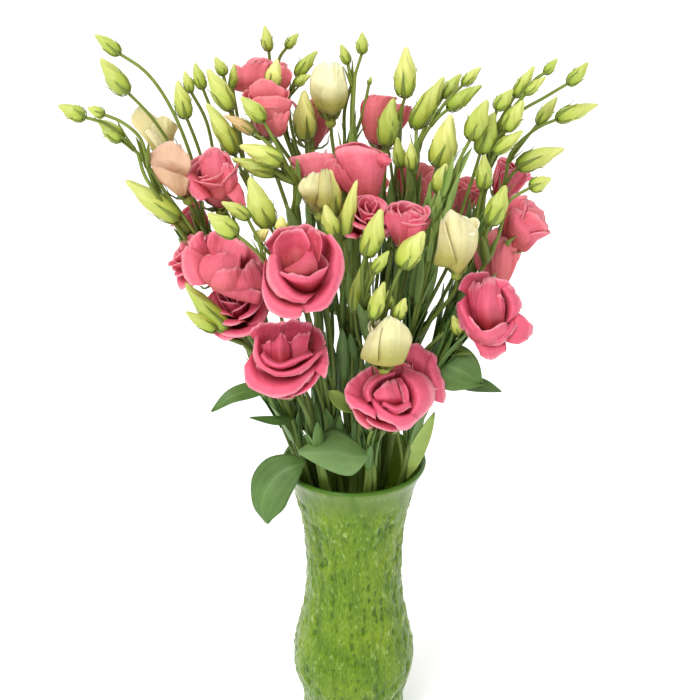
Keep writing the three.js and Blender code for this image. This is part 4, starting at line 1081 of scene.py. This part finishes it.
            [(200, 168, 7), (217, 165, 8), (235, 170, 7)], [(198, 156, 5), (214, 146, 4), (228, 155, 5)]]),
        (0.6, [[(212, 196, 6), (222, 198, 4), (231, 194, 6)], [(203, 178, 5), (216, 176, 1), (229, 176, 4)],
            [(202, 164, 5), (214, 160, 2), (227, 162, 4)], [(209, 152, 5), (215, 149, 4), (222, 152, 5)]]),
        (0.5, [[(224, 194, 6), (230, 194, 3), (236, 188, 6)], [(222, 180, 2), (230, 176, 0), (238, 178, 4)],
            [(220, 166, 1), (227, 162, 1), (235, 168, 4)]]),
        (0.1, [[(191, 170, 6), (202, 182, 5), (212, 197, 5)],
            [(187, 174, 0), (194, 188, -2), (206, 199, -1)], [(184, 171, 3), (189, 191, 3), (198, 202, 3)]]),
        (0.3, [[(226, 195, 4), (232, 190, 4), (238, 183, 5)], [(231, 199, 2), (238, 196, 1), (242, 189, 3)],
            [(238, 207, 4), (246, 208, 4), (244, 194, 5)]]),
    ]),
    "middle": ((0.02, -0.95, 0.3), 20, [
        (0.55, [[(345, 176, 14), (362, 174, 14), (380, 172, 14)],
            [(337, 156, 10), (360, 150, 9), (386, 160, 10)], [(334, 146, 7), (358, 142, 6), (384, 152, 7)]]),
        (0.3, [[(354, 201, 9), (362, 203, 6), (370, 203, 6), (377, 200, 9)],
            [(349, 183, 6), (361, 184, 0), (373, 184, 0), (382, 183, 6)],
            [(339, 165, 5), (356, 164, -3), (374, 164, -3), (386, 166, 4)],
            [(333, 147, 4), (352, 145, 0), (371, 148, -1), (385, 156, 3)]]),
        (0.7, [[(352, 198, 9), (355, 195, 7), (357, 190, 5)], [(337, 181, 5), (343, 178, 2), (350, 179, 1)],
            [(332, 165, 5), (335, 162, 2), (342, 167, 0)]]),
        (0.2, [[(370, 160, 1), (375, 165, 0), (381, 168, 1)],
            [(381, 153, -1), (384, 160, -4), (387, 166, -2)],
            [(386, 154, 0), (392, 160, -2), (388, 166, 0)]]),
    ]),
    "upper_right": ((0, -0.95, 0.3), 18, [
        (0.4, [[(366, 138, 6), (374, 142, 3), (385, 139, 6)], [(361, 120, 4), (374, 118, -2), (391, 118, 4)],
            [(361, 104, 3), (376, 100, -2), (394, 103, 3)], [(369, 94, 1), (382, 95, -1), (399, 97, 1)]]),
        (0.8, [[(386, 139, 8), (391, 141, 8), (396, 136, 8)], [(393, 118, 5), (401, 118, 3), (408, 121, 5)],
            [(397, 107, 4), (406, 105, 3), (413, 106, 4)]]),
    ]),
    "top_left": ((0, -0.95, 0.3), 22, [
        (0.5, [[(245, 93, 8), (255, 95, 6), (265, 93, 8)], [(231, 88, 3), (248, 82, 0), (265, 84, 3)],
            [(235, 76, 3), (250, 69, 1), (267, 72, 3)], [(246, 65, 4), (258, 60, 3), (269, 61, 4)]]),
        (0.6, [[(270, 92, 8), (278, 94, 7), (287, 88, 8)], [(270, 78, 4), (282, 78, 2), (291, 81, 5)],
            [(271, 66, 4), (283, 65, 3), (293, 72, 5)]]),
    ]),
    "upper_left": ((0, -0.9, 0.43), 20, [
        (0.2, [[(255, 104, 10), (268, 106, 10), (284, 104, 10)], [(250, 94, 5), (266, 90, 4), (285, 94, 5)],
            [(249, 86, 5), (262, 78, 4), (284, 87, 5)]]),
        (0.6, [[(270, 134, 8), (279, 136, 7), (285, 132, 8)], [(266, 124, 4), (277, 124, 1), (288, 122, 4)],
            [(264, 116, 4), (278, 112, 1), (291, 110, 4)]]),
        (0.3, [[(262, 122, 8), (273, 124, 5), (286, 115, 8)], [(253, 109, 2), (270, 109, -2), (291, 107, 2)],
            [(251, 98, 1), (270, 95, -3), (293, 99, 1)]]),
    ]),
    "middle_left": ((0, -0.95, 0.3), 20, [
        (0.3, [[(314, 196, 8), (324, 196, 6), (334, 192, 8)], [(301, 174, 3), (317, 172, -1), (336, 170, 3)],
            [(285, 158, 4), (310, 152, 1), (335, 152, 4)]]),
        (0.5, [[(330, 196, 5), (338, 196, 3), (346, 190, 5)], [(326, 178, 2), (336, 174, -2), (344, 176, 3)],
            [(322, 163, 2), (332, 157, -1), (340, 162, 3)]]),
    ]),
    "right_of_front": ((0.5, -0.7, 0.5), 8, [
        (0.4, [[(408, 366, 9), (416, 374, 9), (424, 384, 9)], [(404, 354, 4), (416, 356, 2), (432, 370, 4)],
            [(403, 346, 4), (418, 343, 2), (434, 354, 4)]]),
        (0.2, [[(420, 372, 8), (426, 384, 8), (430, 398, 8)], [(428, 362, 2), (434, 380, 0), (438, 402, 3)],
            [(433, 350, 3), (442, 374, 3), (447, 403, 5)]]),
    ]),
    "right_side": ((0.45, -0.8, 0.4), 10, [
        (0.2, [[(503, 222, 9), (513, 238, 8), (525, 252, 9)], [(507, 203, 3), (526, 216, 0), (536, 242, 3)],
            [(512, 193, 3), (536, 201, 1), (546, 228, 4)]]),
        (0.4, [[(512, 216, 5), (518, 226, 3), (528, 240, 5)], [(517, 206, 1), (527, 216, -3), (536, 232, 1)],
            [(521, 199, 2), (534, 207, -2), (541, 222, 2)]]),
        (0.3, [[(508, 224, 4), (514, 234, 3), (522, 246, 5)], [(510, 212, 0), (519, 224, -3), (530, 240, 0)],
            [(514, 206, 1), (525, 216, -3), (535, 231, 1)]]),
    ]),
    "right_behind": ((0.1, -0.9, 0.43), 18, [
        (0.5, [[(486, 284, 8), (495, 288, 6), (506, 285, 8)], [(474, 262, 3), (494, 258, 0), (515, 268, 3)],
            [(478, 240, 4), (498, 227, 1), (519, 252, 4)]]),
        (0.3, [[(492, 280, 4), (499, 284, 3), (508, 280, 5)],
            [(490, 260, -1), (501, 256, -4), (513, 262, 0)], [(492, 243, 1), (504, 236, -2), (516, 250, 2)]]),
    ]),
    "khaki": ((-0.1, -0.95, 0.3), 4, [
        (1.4, [[(153, 150, 6), (160, 148, 5), (166, 144, 6)], [(145, 139, 3), (154, 135, 0), (165, 133, 3)],
            [(134, 126, 3), (146, 121, -1), (160, 123, 2)], [(130, 118, 3), (138, 106, 1), (153, 114, 2)]]),
        (1.5, [[(160, 147, 4), (167, 144, 2), (173, 143, 5)], [(157, 132, 0), (166, 129, -3), (175, 134, 3)],
            [(154, 118, 1), (166, 116, -2), (179, 126, 3)]]),
    ]),
    "peach": ((-0.1, -0.95, 0.3), 15, [
        (0.0, [[(160, 182, 4), (172, 186, 4), (184, 184, 4)], [(152, 168, 0), (170, 168, -1), (189, 172, 0)],
            [(150, 158, -1), (168, 154, -1), (191, 163, -1)],
            [(152, 151, -1), (169, 140, -2), (187, 151, -1)]]),
        (0.9, [[(172, 191, 2), (179, 195, 1), (186, 194, 3)],
            [(160, 179, -4), (172, 184, -6), (188, 186, -2)],
            [(150, 163, -5), (168, 170, -9), (189, 177, -4)]]),
    ]),
    "tall_cream": ((0, -0.95, 0.3), 13, [
        (0.1, [[(316, 107, 8), (325, 111, 6), (335, 110, 8)], [(310, 92, 5), (321, 92, -1), (335, 93, 3)],
            [(311, 76, 4), (322, 75, -2), (334, 78, 2)], [(316, 65, 3), (324, 61, 0), (332, 63, 2)]]),
        (0.0, [[(324, 109, 4), (334, 112, 1), (344, 107, 5)], [(320, 95, 0), (334, 94, -4), (348, 94, 4)],
            [(321, 79, 0), (333, 77, -4), (346, 80, 4)], [(326, 65, 1), (334, 61, -2), (342, 64, 3)]]),
    ]),
    "yellow_right": ((0.05, -0.95, 0.3), 15, [
        (1.1, [[(438, 264, 6), (449, 266, 3), (458, 273, 4), (465, 267, 7)],
            [(442, 250, 4), (453, 250, -2), (464, 250, -2), (475, 252, 5)],
            [(442, 232, 3), (452, 232, -3), (464, 232, -3), (478, 238, 5)],
            [(443, 216, 2), (451, 209, -1), (462, 215, -1), (477, 227, 4)]]),
        (1.25, [[(434, 264, 6), (444, 265, 1), (456, 262, -2)],
            [(437, 248, 4), (444, 246, -2), (452, 249, -7)], [(439, 232, 4), (443, 230, -2), (447, 233, -7)],
            [(441, 217, 3), (443, 219, 0), (445, 222, -4)]]),
    ]),
    "yellow_front": ((0.03, -0.95, 0.3), 16, [
        (1.2, [[(366, 361, 5), (378, 364, 1), (390, 365, 1), (403, 363, 5)],
            [(366, 346, 3), (379, 346, -3), (394, 346, -3), (410, 347, 5)],
            [(372, 333, 2), (382, 331, -3), (395, 331, -3), (412, 337, 5)],
            [(381, 321, 1), (389, 315, -1), (396, 318, -1), (406, 324, 3)]]),
        (1.3, [[(361, 358, 6), (369, 360, 0), (378, 360, -3)],
            [(364, 345, 5), (372, 343, -2), (379, 342, -5)],
            [(370, 331, 4), (377, 328, -2), (383, 324, -4)]]),
    ]),
    "folded_cream": ((-0.05, -0.7, 0.71), 9, [
        (1.1, [[(305, 200, 7), (311, 203, 6), (318, 201, 7)], [(301, 194, 2), (310, 192, -1), (321, 193, 2)],
            [(298, 187, 2), (309, 182, -3), (322, 183, 2)], [(303, 178, 3), (312, 173, 0), (322, 171, 3)]]),
        (2.2, [[(317, 203, 6), (324, 206, 4), (331, 203, 6)], [(319, 194, 0), (325, 192, -2), (332, 193, 1)],
            [(319, 182, 0), (325, 178, -3), (331, 182, 1)], [(320, 172, 2), (325, 168, 1), (331, 171, 3)]]),
    ]),
    "middle_right": ((0.15, -0.72, 0.68), 12, [
        (0.5, [[(398, 220, 14), (405, 222, 14), (412, 221, 14)],
            [(392, 212, 11), (404, 212, 12), (418, 214, 11)],
            [(384, 205, 10), (401, 202, 11), (423, 208, 10)]]),
        (0.9, [[(397, 246, 8), (403, 249, 7), (409, 246, 7)], [(389, 232, 2), (400, 235, -1), (411, 232, 2)],
            [(384, 218, 3), (398, 221, -2), (412, 220, 2)], [(382, 209, 6), (397, 212, 2), (411, 212, 5)]]),
        (0.8, [[(404, 247, 7), (409, 248, 6), (414, 244, 7)], [(407, 234, 1), (417, 235, -1), (425, 231, 3)],
            [(407, 222, 1), (419, 225, -2), (431, 221, 3)], [(408, 213, 4), (421, 215, 2), (432, 214, 6)]]),
    ]),
}

# Each bloom's whorls and how far it is turned about its axis. BACKING and CUP stand behind listed
# petals. A bloom that isn't listed is half open.
BACKING = [(5, 0.74, 0.42, (80, 60, 90), 54)]
CUP = [(4, 0.78, 0.90, (66, 18, 30), 60), (3, 0.60, 0.93, (56, 6, 10), 76), (2, 0.34, 0.92, (44, -8, 0), 95)]
WHORLS = {
    "front_middle": ([(5, 0.84, 0.44, (80, 60, 90), 54)], 0), "front_left": (BACKING, 30),
    "front_right": (BACKING, 0), "right": (BACKING, 20), "left": (BACKING, 0), "middle": (CUP, 20),
    "right_of_front": ([(4, 0.62, 0.7, (66, 30, 40), 60)], 0), "narrow_right": (ROLLED, 0),
    "khaki": ([(3, 0.40, 0.8, (56, 10, 0), 80)], 0), "folded_cream": ([(3, 0.55, 0.62, (56, 10, 0), 80)], 0),
    **{name: (CUP, 0) for name in (
        "left_cup", "upper_right", "top_left", "upper_left", "middle_left", "right_side", "right_behind",
        "peach", "tall_cream", "yellow_right", "yellow_front", "middle_right")},
    **{name: (OPEN, 0) for name in ("left_side", "left_lower", "deep_red", "back_low", "back_high")},
}
# How warm the colour of a bloom is, and the number that its chance draws start from.
TINTS = {
    "top_left": (0.8, 11), "upper_left": (1.0, 12), "upper_hidden": (0.8, 13), "middle": (0.6, 14),
    "middle_left": (0.8, 15), "upper_right": (0.9, 16), "front_middle": (0.35, 17), "left": (0.55, 18),
    "left_side": (0.4, 19), "left_lower": (0.3, 20), "left_behind": (0.4, 21), "left_cup": (0.6, 22),
    "deep_red": (0.5, 23), "middle_right": (0.45, 24), "front_left": (0.25, 25), "right_hidden": (0.3, 26),
    "right_side": (0.6, 27), "right_behind": (1.0, 28), "right": (0.3, 29), "front_right": (0.25, 30),
    "right_of_front": (0.3, 31), "narrow_right": (0.9, 32), "far_behind": (0.8, 33), "back_low": (0.5, 34),
    "back_high": (0.5, 35), "khaki": (0.1, 41), "peach": (0.95, 42), "tall_cream": (0.0, 43),
    "folded_cream": (0.12, 44), "yellow_right": (0.1, 45), "yellow_front": (0.1, 46),
}

petal_sheet, petal_u, petal_v = grid_sheet("petal_shape", 14, 16)


def petal_shape(mesh, bloom, at, half_span, reach, height, lean, tone, ruffle, chance):
    """One petal of a whorl, bent up from the foot by its lean and wrapped round the axis of the bloom."""
    base, axis, right, up = bloom
    u, v = petal_u, petal_v
    s = np.linspace(0, 1, 49)
    slope = np.radians(np.interp(s, [0, 0.5, 1], lean))
    out = np.concatenate([[0], np.cumsum((np.sin(slope[1:]) + np.sin(slope[:-1])) / 2)])
    rise = np.concatenate([[0], np.cumsum((np.cos(slope[1:]) + np.cos(slope[:-1])) / 2)])
    foot = min(PETAL_FOOT, 0.5 * reach)
    out = foot + (reach - foot) * out / out.max()
    rise = height * rise / rise.max()
    wave = chance.uniform(0, 2 * math.pi, 4)
    edge = 0.55 + 0.45 * np.sqrt(np.clip(1 - np.abs(u) ** 3, 0, 1)) + 0.02 * np.sin(5.2 * u + wave[0])
    edge = edge - 0.035 * np.sin(2.1 * u + wave[1])
    far = v * edge
    radial = np.interp(far, s, out)
    level = np.interp(far, s, rise)
    rolled = math.sin(math.radians(min(max(lean[2], 0), 90)))
    radial = radial * (1 + 0.08 * u * v)
    radial = radial + 0.10 * reach * rolled * u**2 * v**2 - 0.06 * reach * u**2 * np.sin(math.pi * v)
    flutter = ruffle * reach * v**3 * (np.sin(2.6 * u + wave[2]) + 0.4 * np.sin(6.3 * u + wave[3]))
    radial = np.maximum(radial + 0.4 * flutter, 0.0006)
    level = level + flutter - 0.10 * height * rolled * np.abs(u) ** 3 * v**3
    turn = math.radians(at) + math.radians(half_span) * u * (0.72 + 0.28 * fade(v, 0, 0.6)) + 0.16 * (v - 1)
    corners = along_axes(base, axis, right, up, level, radial * np.cos(turn), radial * np.sin(turn))
    add_sheet(mesh, petal_sheet, corners, tone)


def spread(points, shares):
    """How much each of a run of points counts at shares of the way along the smooth line through them."""
    knots = np.eye(points)
    slope = np.gradient(knots, axis=0)
    at = np.clip(shares, 0, 1) * (points - 1)
    low = np.minimum(at.astype(int), points - 2)
    t = (at - low)[:, None]
    rise = t * t * (3 - 2 * t)
    return (knots[low] * (1 - rise) + knots[low + 1] * rise + slope[low] * t * (1 - t) ** 2
            - slope[low + 1] * t * t * (1 - t))


def placed_sheet(u, v, base, face, front, rows, depth):
    """A sheet through rows of points seen on a face; its foot runs on down towards the base."""
    net = []
    for row in rows:
        points = []
        for x, y, behind in row:
            ray = place((x, y, 0)) - EYE
            reach = np.dot(front, face - front * behind * depth - EYE) / np.dot(front, ray)
            points.append(EYE + ray * reach)
        net.append(points)
    foot = [point + (base - point) * 0.5 for point in net[0]]
    net = np.array([foot, *net])
    return np.einsum("ki,kj,ijc->kc", spread(len(net), v), spread(len(net[0]), (u + 1) / 2), net)


# How ruffled the edges of the listed petals are, for the blooms that don't have the usual frill.
USUAL_FRILL = 1.7
FRILLS = {
    "right_side": 3.5, "right_behind": 3.5, "right": 2.4, "left": 1.8, "left_cup": 2.0, "upper_left": 2.0,
}


def placed_petal(mesh, base, face, front, rows, tone, depth, frill, chance):
    """A petal that keeps its seen outline; depth is how far one step behind the face is in metres."""
    u, v = petal_u, petal_v
    wave = chance.uniform(0, 2 * math.pi, 3)
    edge = 7 * np.sin(7 * u + wave[0]) + 3 * frill * np.sin(12 * u + wave[2])
    far = v * (1 - 0.06 * u**8) - v**2 * (0.007 + 0.003 * frill + 0.001 * edge)
    corners = placed_sheet(u, far, base, face, front, rows, depth)
    flutter = np.sin(5 * u + wave[1]) + 0.6 * np.sin(13 * u + wave[0])
    corners = corners + front * (0.0009 * frill * v**5 * flutter)[:, None]
    add_sheet(mesh, petal_sheet, corners, tone)


def petal_plan(name, chance):
    """Every petal of a bloom, whorl by whorl from the outside in."""
    whorls, roll = WHORLS.get(name, (HALF_OPEN, 0))
    plan = []
    for depth, (count, reach, height, lean, span) in enumerate(whorls):
        start = roll + depth * WHORL_TURN + chance.uniform(-15, 15)
        plan.append([
            (start + k * 360 / count + chance.normal(0, 8), span * chance.uniform(0.92, 1.12),
             reach * chance.uniform(0.90, 1.06), height * chance.uniform(0.92, 1.03),
             *(angle + chance.normal(0, sway) for angle, sway in zip(lean, (3, 6, 10))))
            for k in range(count)
        ])
    return plan


def thicken(piece, thickness):
    """Give the sheets of a piece their thickness, half of it on either side."""
    shell = piece.modifiers.new("thickness", "SOLIDIFY")
    shell.thickness = thickness
    shell.offset = 0


# How far one step behind the face is in metres, with a few listed petals and with more than FEW_PETALS.
SHALLOW_STEP = 0.0012
DEEP_STEP = 0.0016
FEW_PETALS = 5


def grow_bloom(name, place_plan, finish):
    tint, seed = TINTS[name]
    chance = np.random.default_rng(seed)
    _, middle, facing, size, _ = place_plan
    axis, base = bloom_base(middle, facing, size)
    across, above = frame_across(axis)
    width, height = size[0] / 2000, size[1] / 1000
    nod = (across * chance.normal(0, 0.06) + above * chance.normal(0, 0.06)) * (name not in CREAM_BLOOMS)
    ruffle = CREAM_RUFFLE if name in CREAM_BLOOMS else PINK_RUFFLE
    mesh = mapped_mesh()
    plan = petal_plan(name, chance)
    for depth, whorl in enumerate(plan):
        lean_axis = unit(axis + nod * depth)
        right = unit(across - lean_axis * np.dot(across, lean_axis))
        own = (base, lean_axis, right, np.cross(lean_axis, right))
        for at, span, reach, tall, *lean in whorl:
            # Inner whorls get more painted shade, as they sit deeper in the bloom.
            tone = (np.clip(tint + chance.normal(0, 0.08), 0, 1), 0.35 + 0.4 * depth / len(plan))
            petal_shape(mesh, own, at, span, width * reach, height * tall, lean, tone,
                        chance.uniform(0.4, 1) * ruffle, chance)
    if name in DRAWN:
        front, lift, drawn = DRAWN[name]
        front = unit(front)
        face = place(middle) + front * lift / 1000
        depth = DEEP_STEP if len(drawn) > FEW_PETALS else SHALLOW_STEP
        frill = FRILLS.get(name, USUAL_FRILL)
        for shade, rows in drawn:
            tone = (np.clip(tint + chance.normal(0, 0.06), 0, 1), shade)
            placed_petal(mesh, base, face, front, rows, tone, depth, frill, chance)
    bloom = add_object(f"petals_{name}", shape_of(mesh, f"petals_{name}"), finish)
    thicken(bloom, PETAL_THICKNESS)
    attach(bloom, "root")
    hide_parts(f"bloom_{name}")


def petal_finish(name, deep_and_shade, body, rim, warm):
    """A finish from a deep foot, partly its own deeper colour and partly painted shade, over the petal's body
    to a rim of painted highlight, with fine long veins.
    """
    finish = Finish(name, roughness=0.52, specular_ior_level=0.35, subsurface_weight=0.18,
                    subsurface_scale=0.004, subsurface_radius=(1.0, 0.35, 0.3))
    across, along = finish.uv("blade")
    tint, depth = finish.uv("tone")
    vein = finish.noise(finish.vector(26 * across, 1.6 * along, 9 * tint), 1, 3)
    cloud = finish.noise(finish.place(), 60, 2)
    shade = finish.ramp(along + 0.12 * (cloud - 0.5), (0.0, deep_and_shade), (0.36, deep_and_shade), (0.66, body), (0.88, body),
                        (1.0, rim))
    shade = finish.mix(tint, shade, finish.mix(0.65, shade, warm))
    # Painted shade: each petal's second tone number, broken up by the veins, darkens it towards the deep
    # colour; in the cream finish that colour is also yellow-green, so it turns cream petals yellower as well.
    shade = finish.mix((vein - 0.45) * 0.4 + 0.32 * (depth - 0.2), shade, deep_and_shade)
    finish.paint("Base Color", shade)
    finish.paint("Roughness", 0.44 + 0.2 * vein)
    finish.bump(0.5 * vein + 2 * finish.noise(finish.place(), 130, 3), 0.8, 0.0010)
    return finish


pink_petal = petal_finish("pink_petal", (0.32, 0.006, 0.022), (0.72, 0.082, 0.18), (0.90, 0.33, 0.42),
                          (0.78, 0.22, 0.20))
cream_petal = petal_finish("cream_petal", (0.38, 0.36, 0.08), (0.95, 0.86, 0.50), (0.96, 0.90, 0.62),
                           (0.50, 0.11, 0.13))
for name, plan in PINK_BLOOMS.items():
    grow_bloom(name, plan, pink_petal)
for name, plan in CREAM_BLOOMS.items():
    grow_bloom(name, plan, cream_petal)

# The leaves. Grey-green blades that clasp the stem, smooth-edged and pointed, with a pale midrib and a few
# veins that run beside it. Two big ones lie over the lip of the vase.
LEAF_THICKNESS = 0.0006
BIG_LEAF_TIP = 0.0003
LIP_LEAF_STEP = 0.001
# The two over the lip are placed one by one: the foot, the way that the leaf faces, how far it lies before
# its foot in millimetres, and rows of points as for the petals, but with the third number in millimetres.
LIP_LEAVES = {
    "over_rim": ((306, 466, -36), (-0.35, -0.8, 0.49), 14, [
        [(303, 459, 8), (305, 463, 8), (303, 467, 8)], [(288, 454, 4), (292, 467, 1), (298, 481, 3)],
        [(266, 459, 3), (277, 476, -2), (290, 497, 2)], [(252, 478, 2), (265, 493, -3), (284, 509, 1)],
        [(253, 505, 2), (262, 511, -1), (274, 518, 1)], [(265, 522, 2), (268, 524, 1), (270, 522, 2)]]),
    "grey_front": ((368, 462, -60), (0.05, -0.75, 0.66), 3, [
        [(365, 450, 0), (367, 456, 0), (365, 463, 0)], [(352, 438, 1), (353, 457, -3), (353, 475, 2)],
        [(334, 428, 2), (334, 452, -4), (338, 474, 2)], [(316, 438, 1), (316, 453, -3), (320, 466, 1)],
        [(299, 450, 0), (298, 452, -1), (299, 454, 0)]]),
}
# The others: the middle line from foot to tip, the width in millimetres and the way the upper side looks.
LEAVES = {
    "twisted_left": ([(276, 388, -50), (253, 390, -62), (231, 397, -70), (212, 412, -72)], 13,
        (-0.2, -0.6, 0.77)),
    "short_left": ([(299, 424, -50), (278, 421, -58), (250, 418, -66)], 8, (0, -0.5, 0.87)),
    "round_right": ([(434, 360, -34), (449, 366, -42), (466, 374, -46), (481, 384, -46)], 32,
        (0.1, -0.8, 0.6)),
    "pointed_right": ([(430, 368, -34), (462, 382, -32), (483, 386, -32), (501, 392, -32)], 13,
        (0.1, -0.5, 0.86)),
    "pale_sheath": ([(404, 478, -18), (413, 458, -26), (424, 434, -32), (434, 412, -36)], 13,
        (0.3, -0.9, 0.3)),
    "dark_blade": ([(394, 372, 8), (410, 330, 2), (422, 296, 0), (431, 268, 0)], 15, (0.3, -0.9, 0.3)),
    "lime_shoot": ([(352, 412, -38), (344, 404, -48), (334, 396, -54), (328, 391, -56)], 11,
        (0, -0.7, 0.7)),
    "back_leaf": ([(360, 380, 50), (352, 378, 78), (344, 384, 100), (340, 400, 112)], 30, (0, 0.7, 0.7)),
}

# How full a leaf is beside its plain outline, where it is widest, below 1 towards its foot, and how pointed.
LEAF_SHAPES = {"round_right": (1.1, 0.9, 0.9)}
# How pale and how yellow a leaf is.
LEAF_TONES = {
    "grey_front": (0.9, 0), "lime_shoot": (0.8, 0.9), "pale_sheath": (0.9, 0.75), "round_right": (0.2, 0),
}

leaf_sheet, leaf_u, leaf_v = grid_sheet("leaf_shape", 12, 24)
main_stems = [smooth_line(stem_points(*plan[:3]), STEM_STEPS) for plan in SPRAYS.values()]


def add_leaf(name, corners):
    mesh = mapped_mesh()
    add_sheet(mesh, leaf_sheet, corners, LEAF_TONES.get(name, (0.1, 0)))
    leaf = add_object(f"blade_{name}", shape_of(mesh, f"leaf_{name}"), leaf_green)
    thicken(leaf, LEAF_THICKNESS)
    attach(leaf, "root")
    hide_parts(f"leaf_{name}")


for name, (spot, facing, lift, rows) in LIP_LEAVES.items():
    foot, front = place(spot), unit(facing)
    base = nearest_on(main_stems, foot)
    face = foot + front * lift / 1000
    add_leaf(name, placed_sheet(leaf_u, leaf_v, base, face, front, rows, LIP_LEAF_STEP))
for name, (line, width, facing) in LEAVES.items():
    foot, *tip = [place(spot) for spot in line]
    middle = smooth_line([nearest_on(main_stems, foot), *tip], 10)
    t = np.linspace(0, 1, 25)
    fullness, widest, point = LEAF_SHAPES.get(name, (1, 1, 0.8))
    widest_half = width / 2000
    half = 0.0012 * (1 - t) + fullness * widest_half * np.sin(math.pi * (0.06 + 0.94 * t**widest)) ** point
    half[-1] = BIG_LEAF_TIP
    curl = widest_half * (0.16 * leaf_u**2 + 0.05 * np.sin(9 * leaf_v + leaf_u) * np.abs(leaf_u))
    add_leaf(name, blade(middle, facing, leaf_u, leaf_v, half, curl))
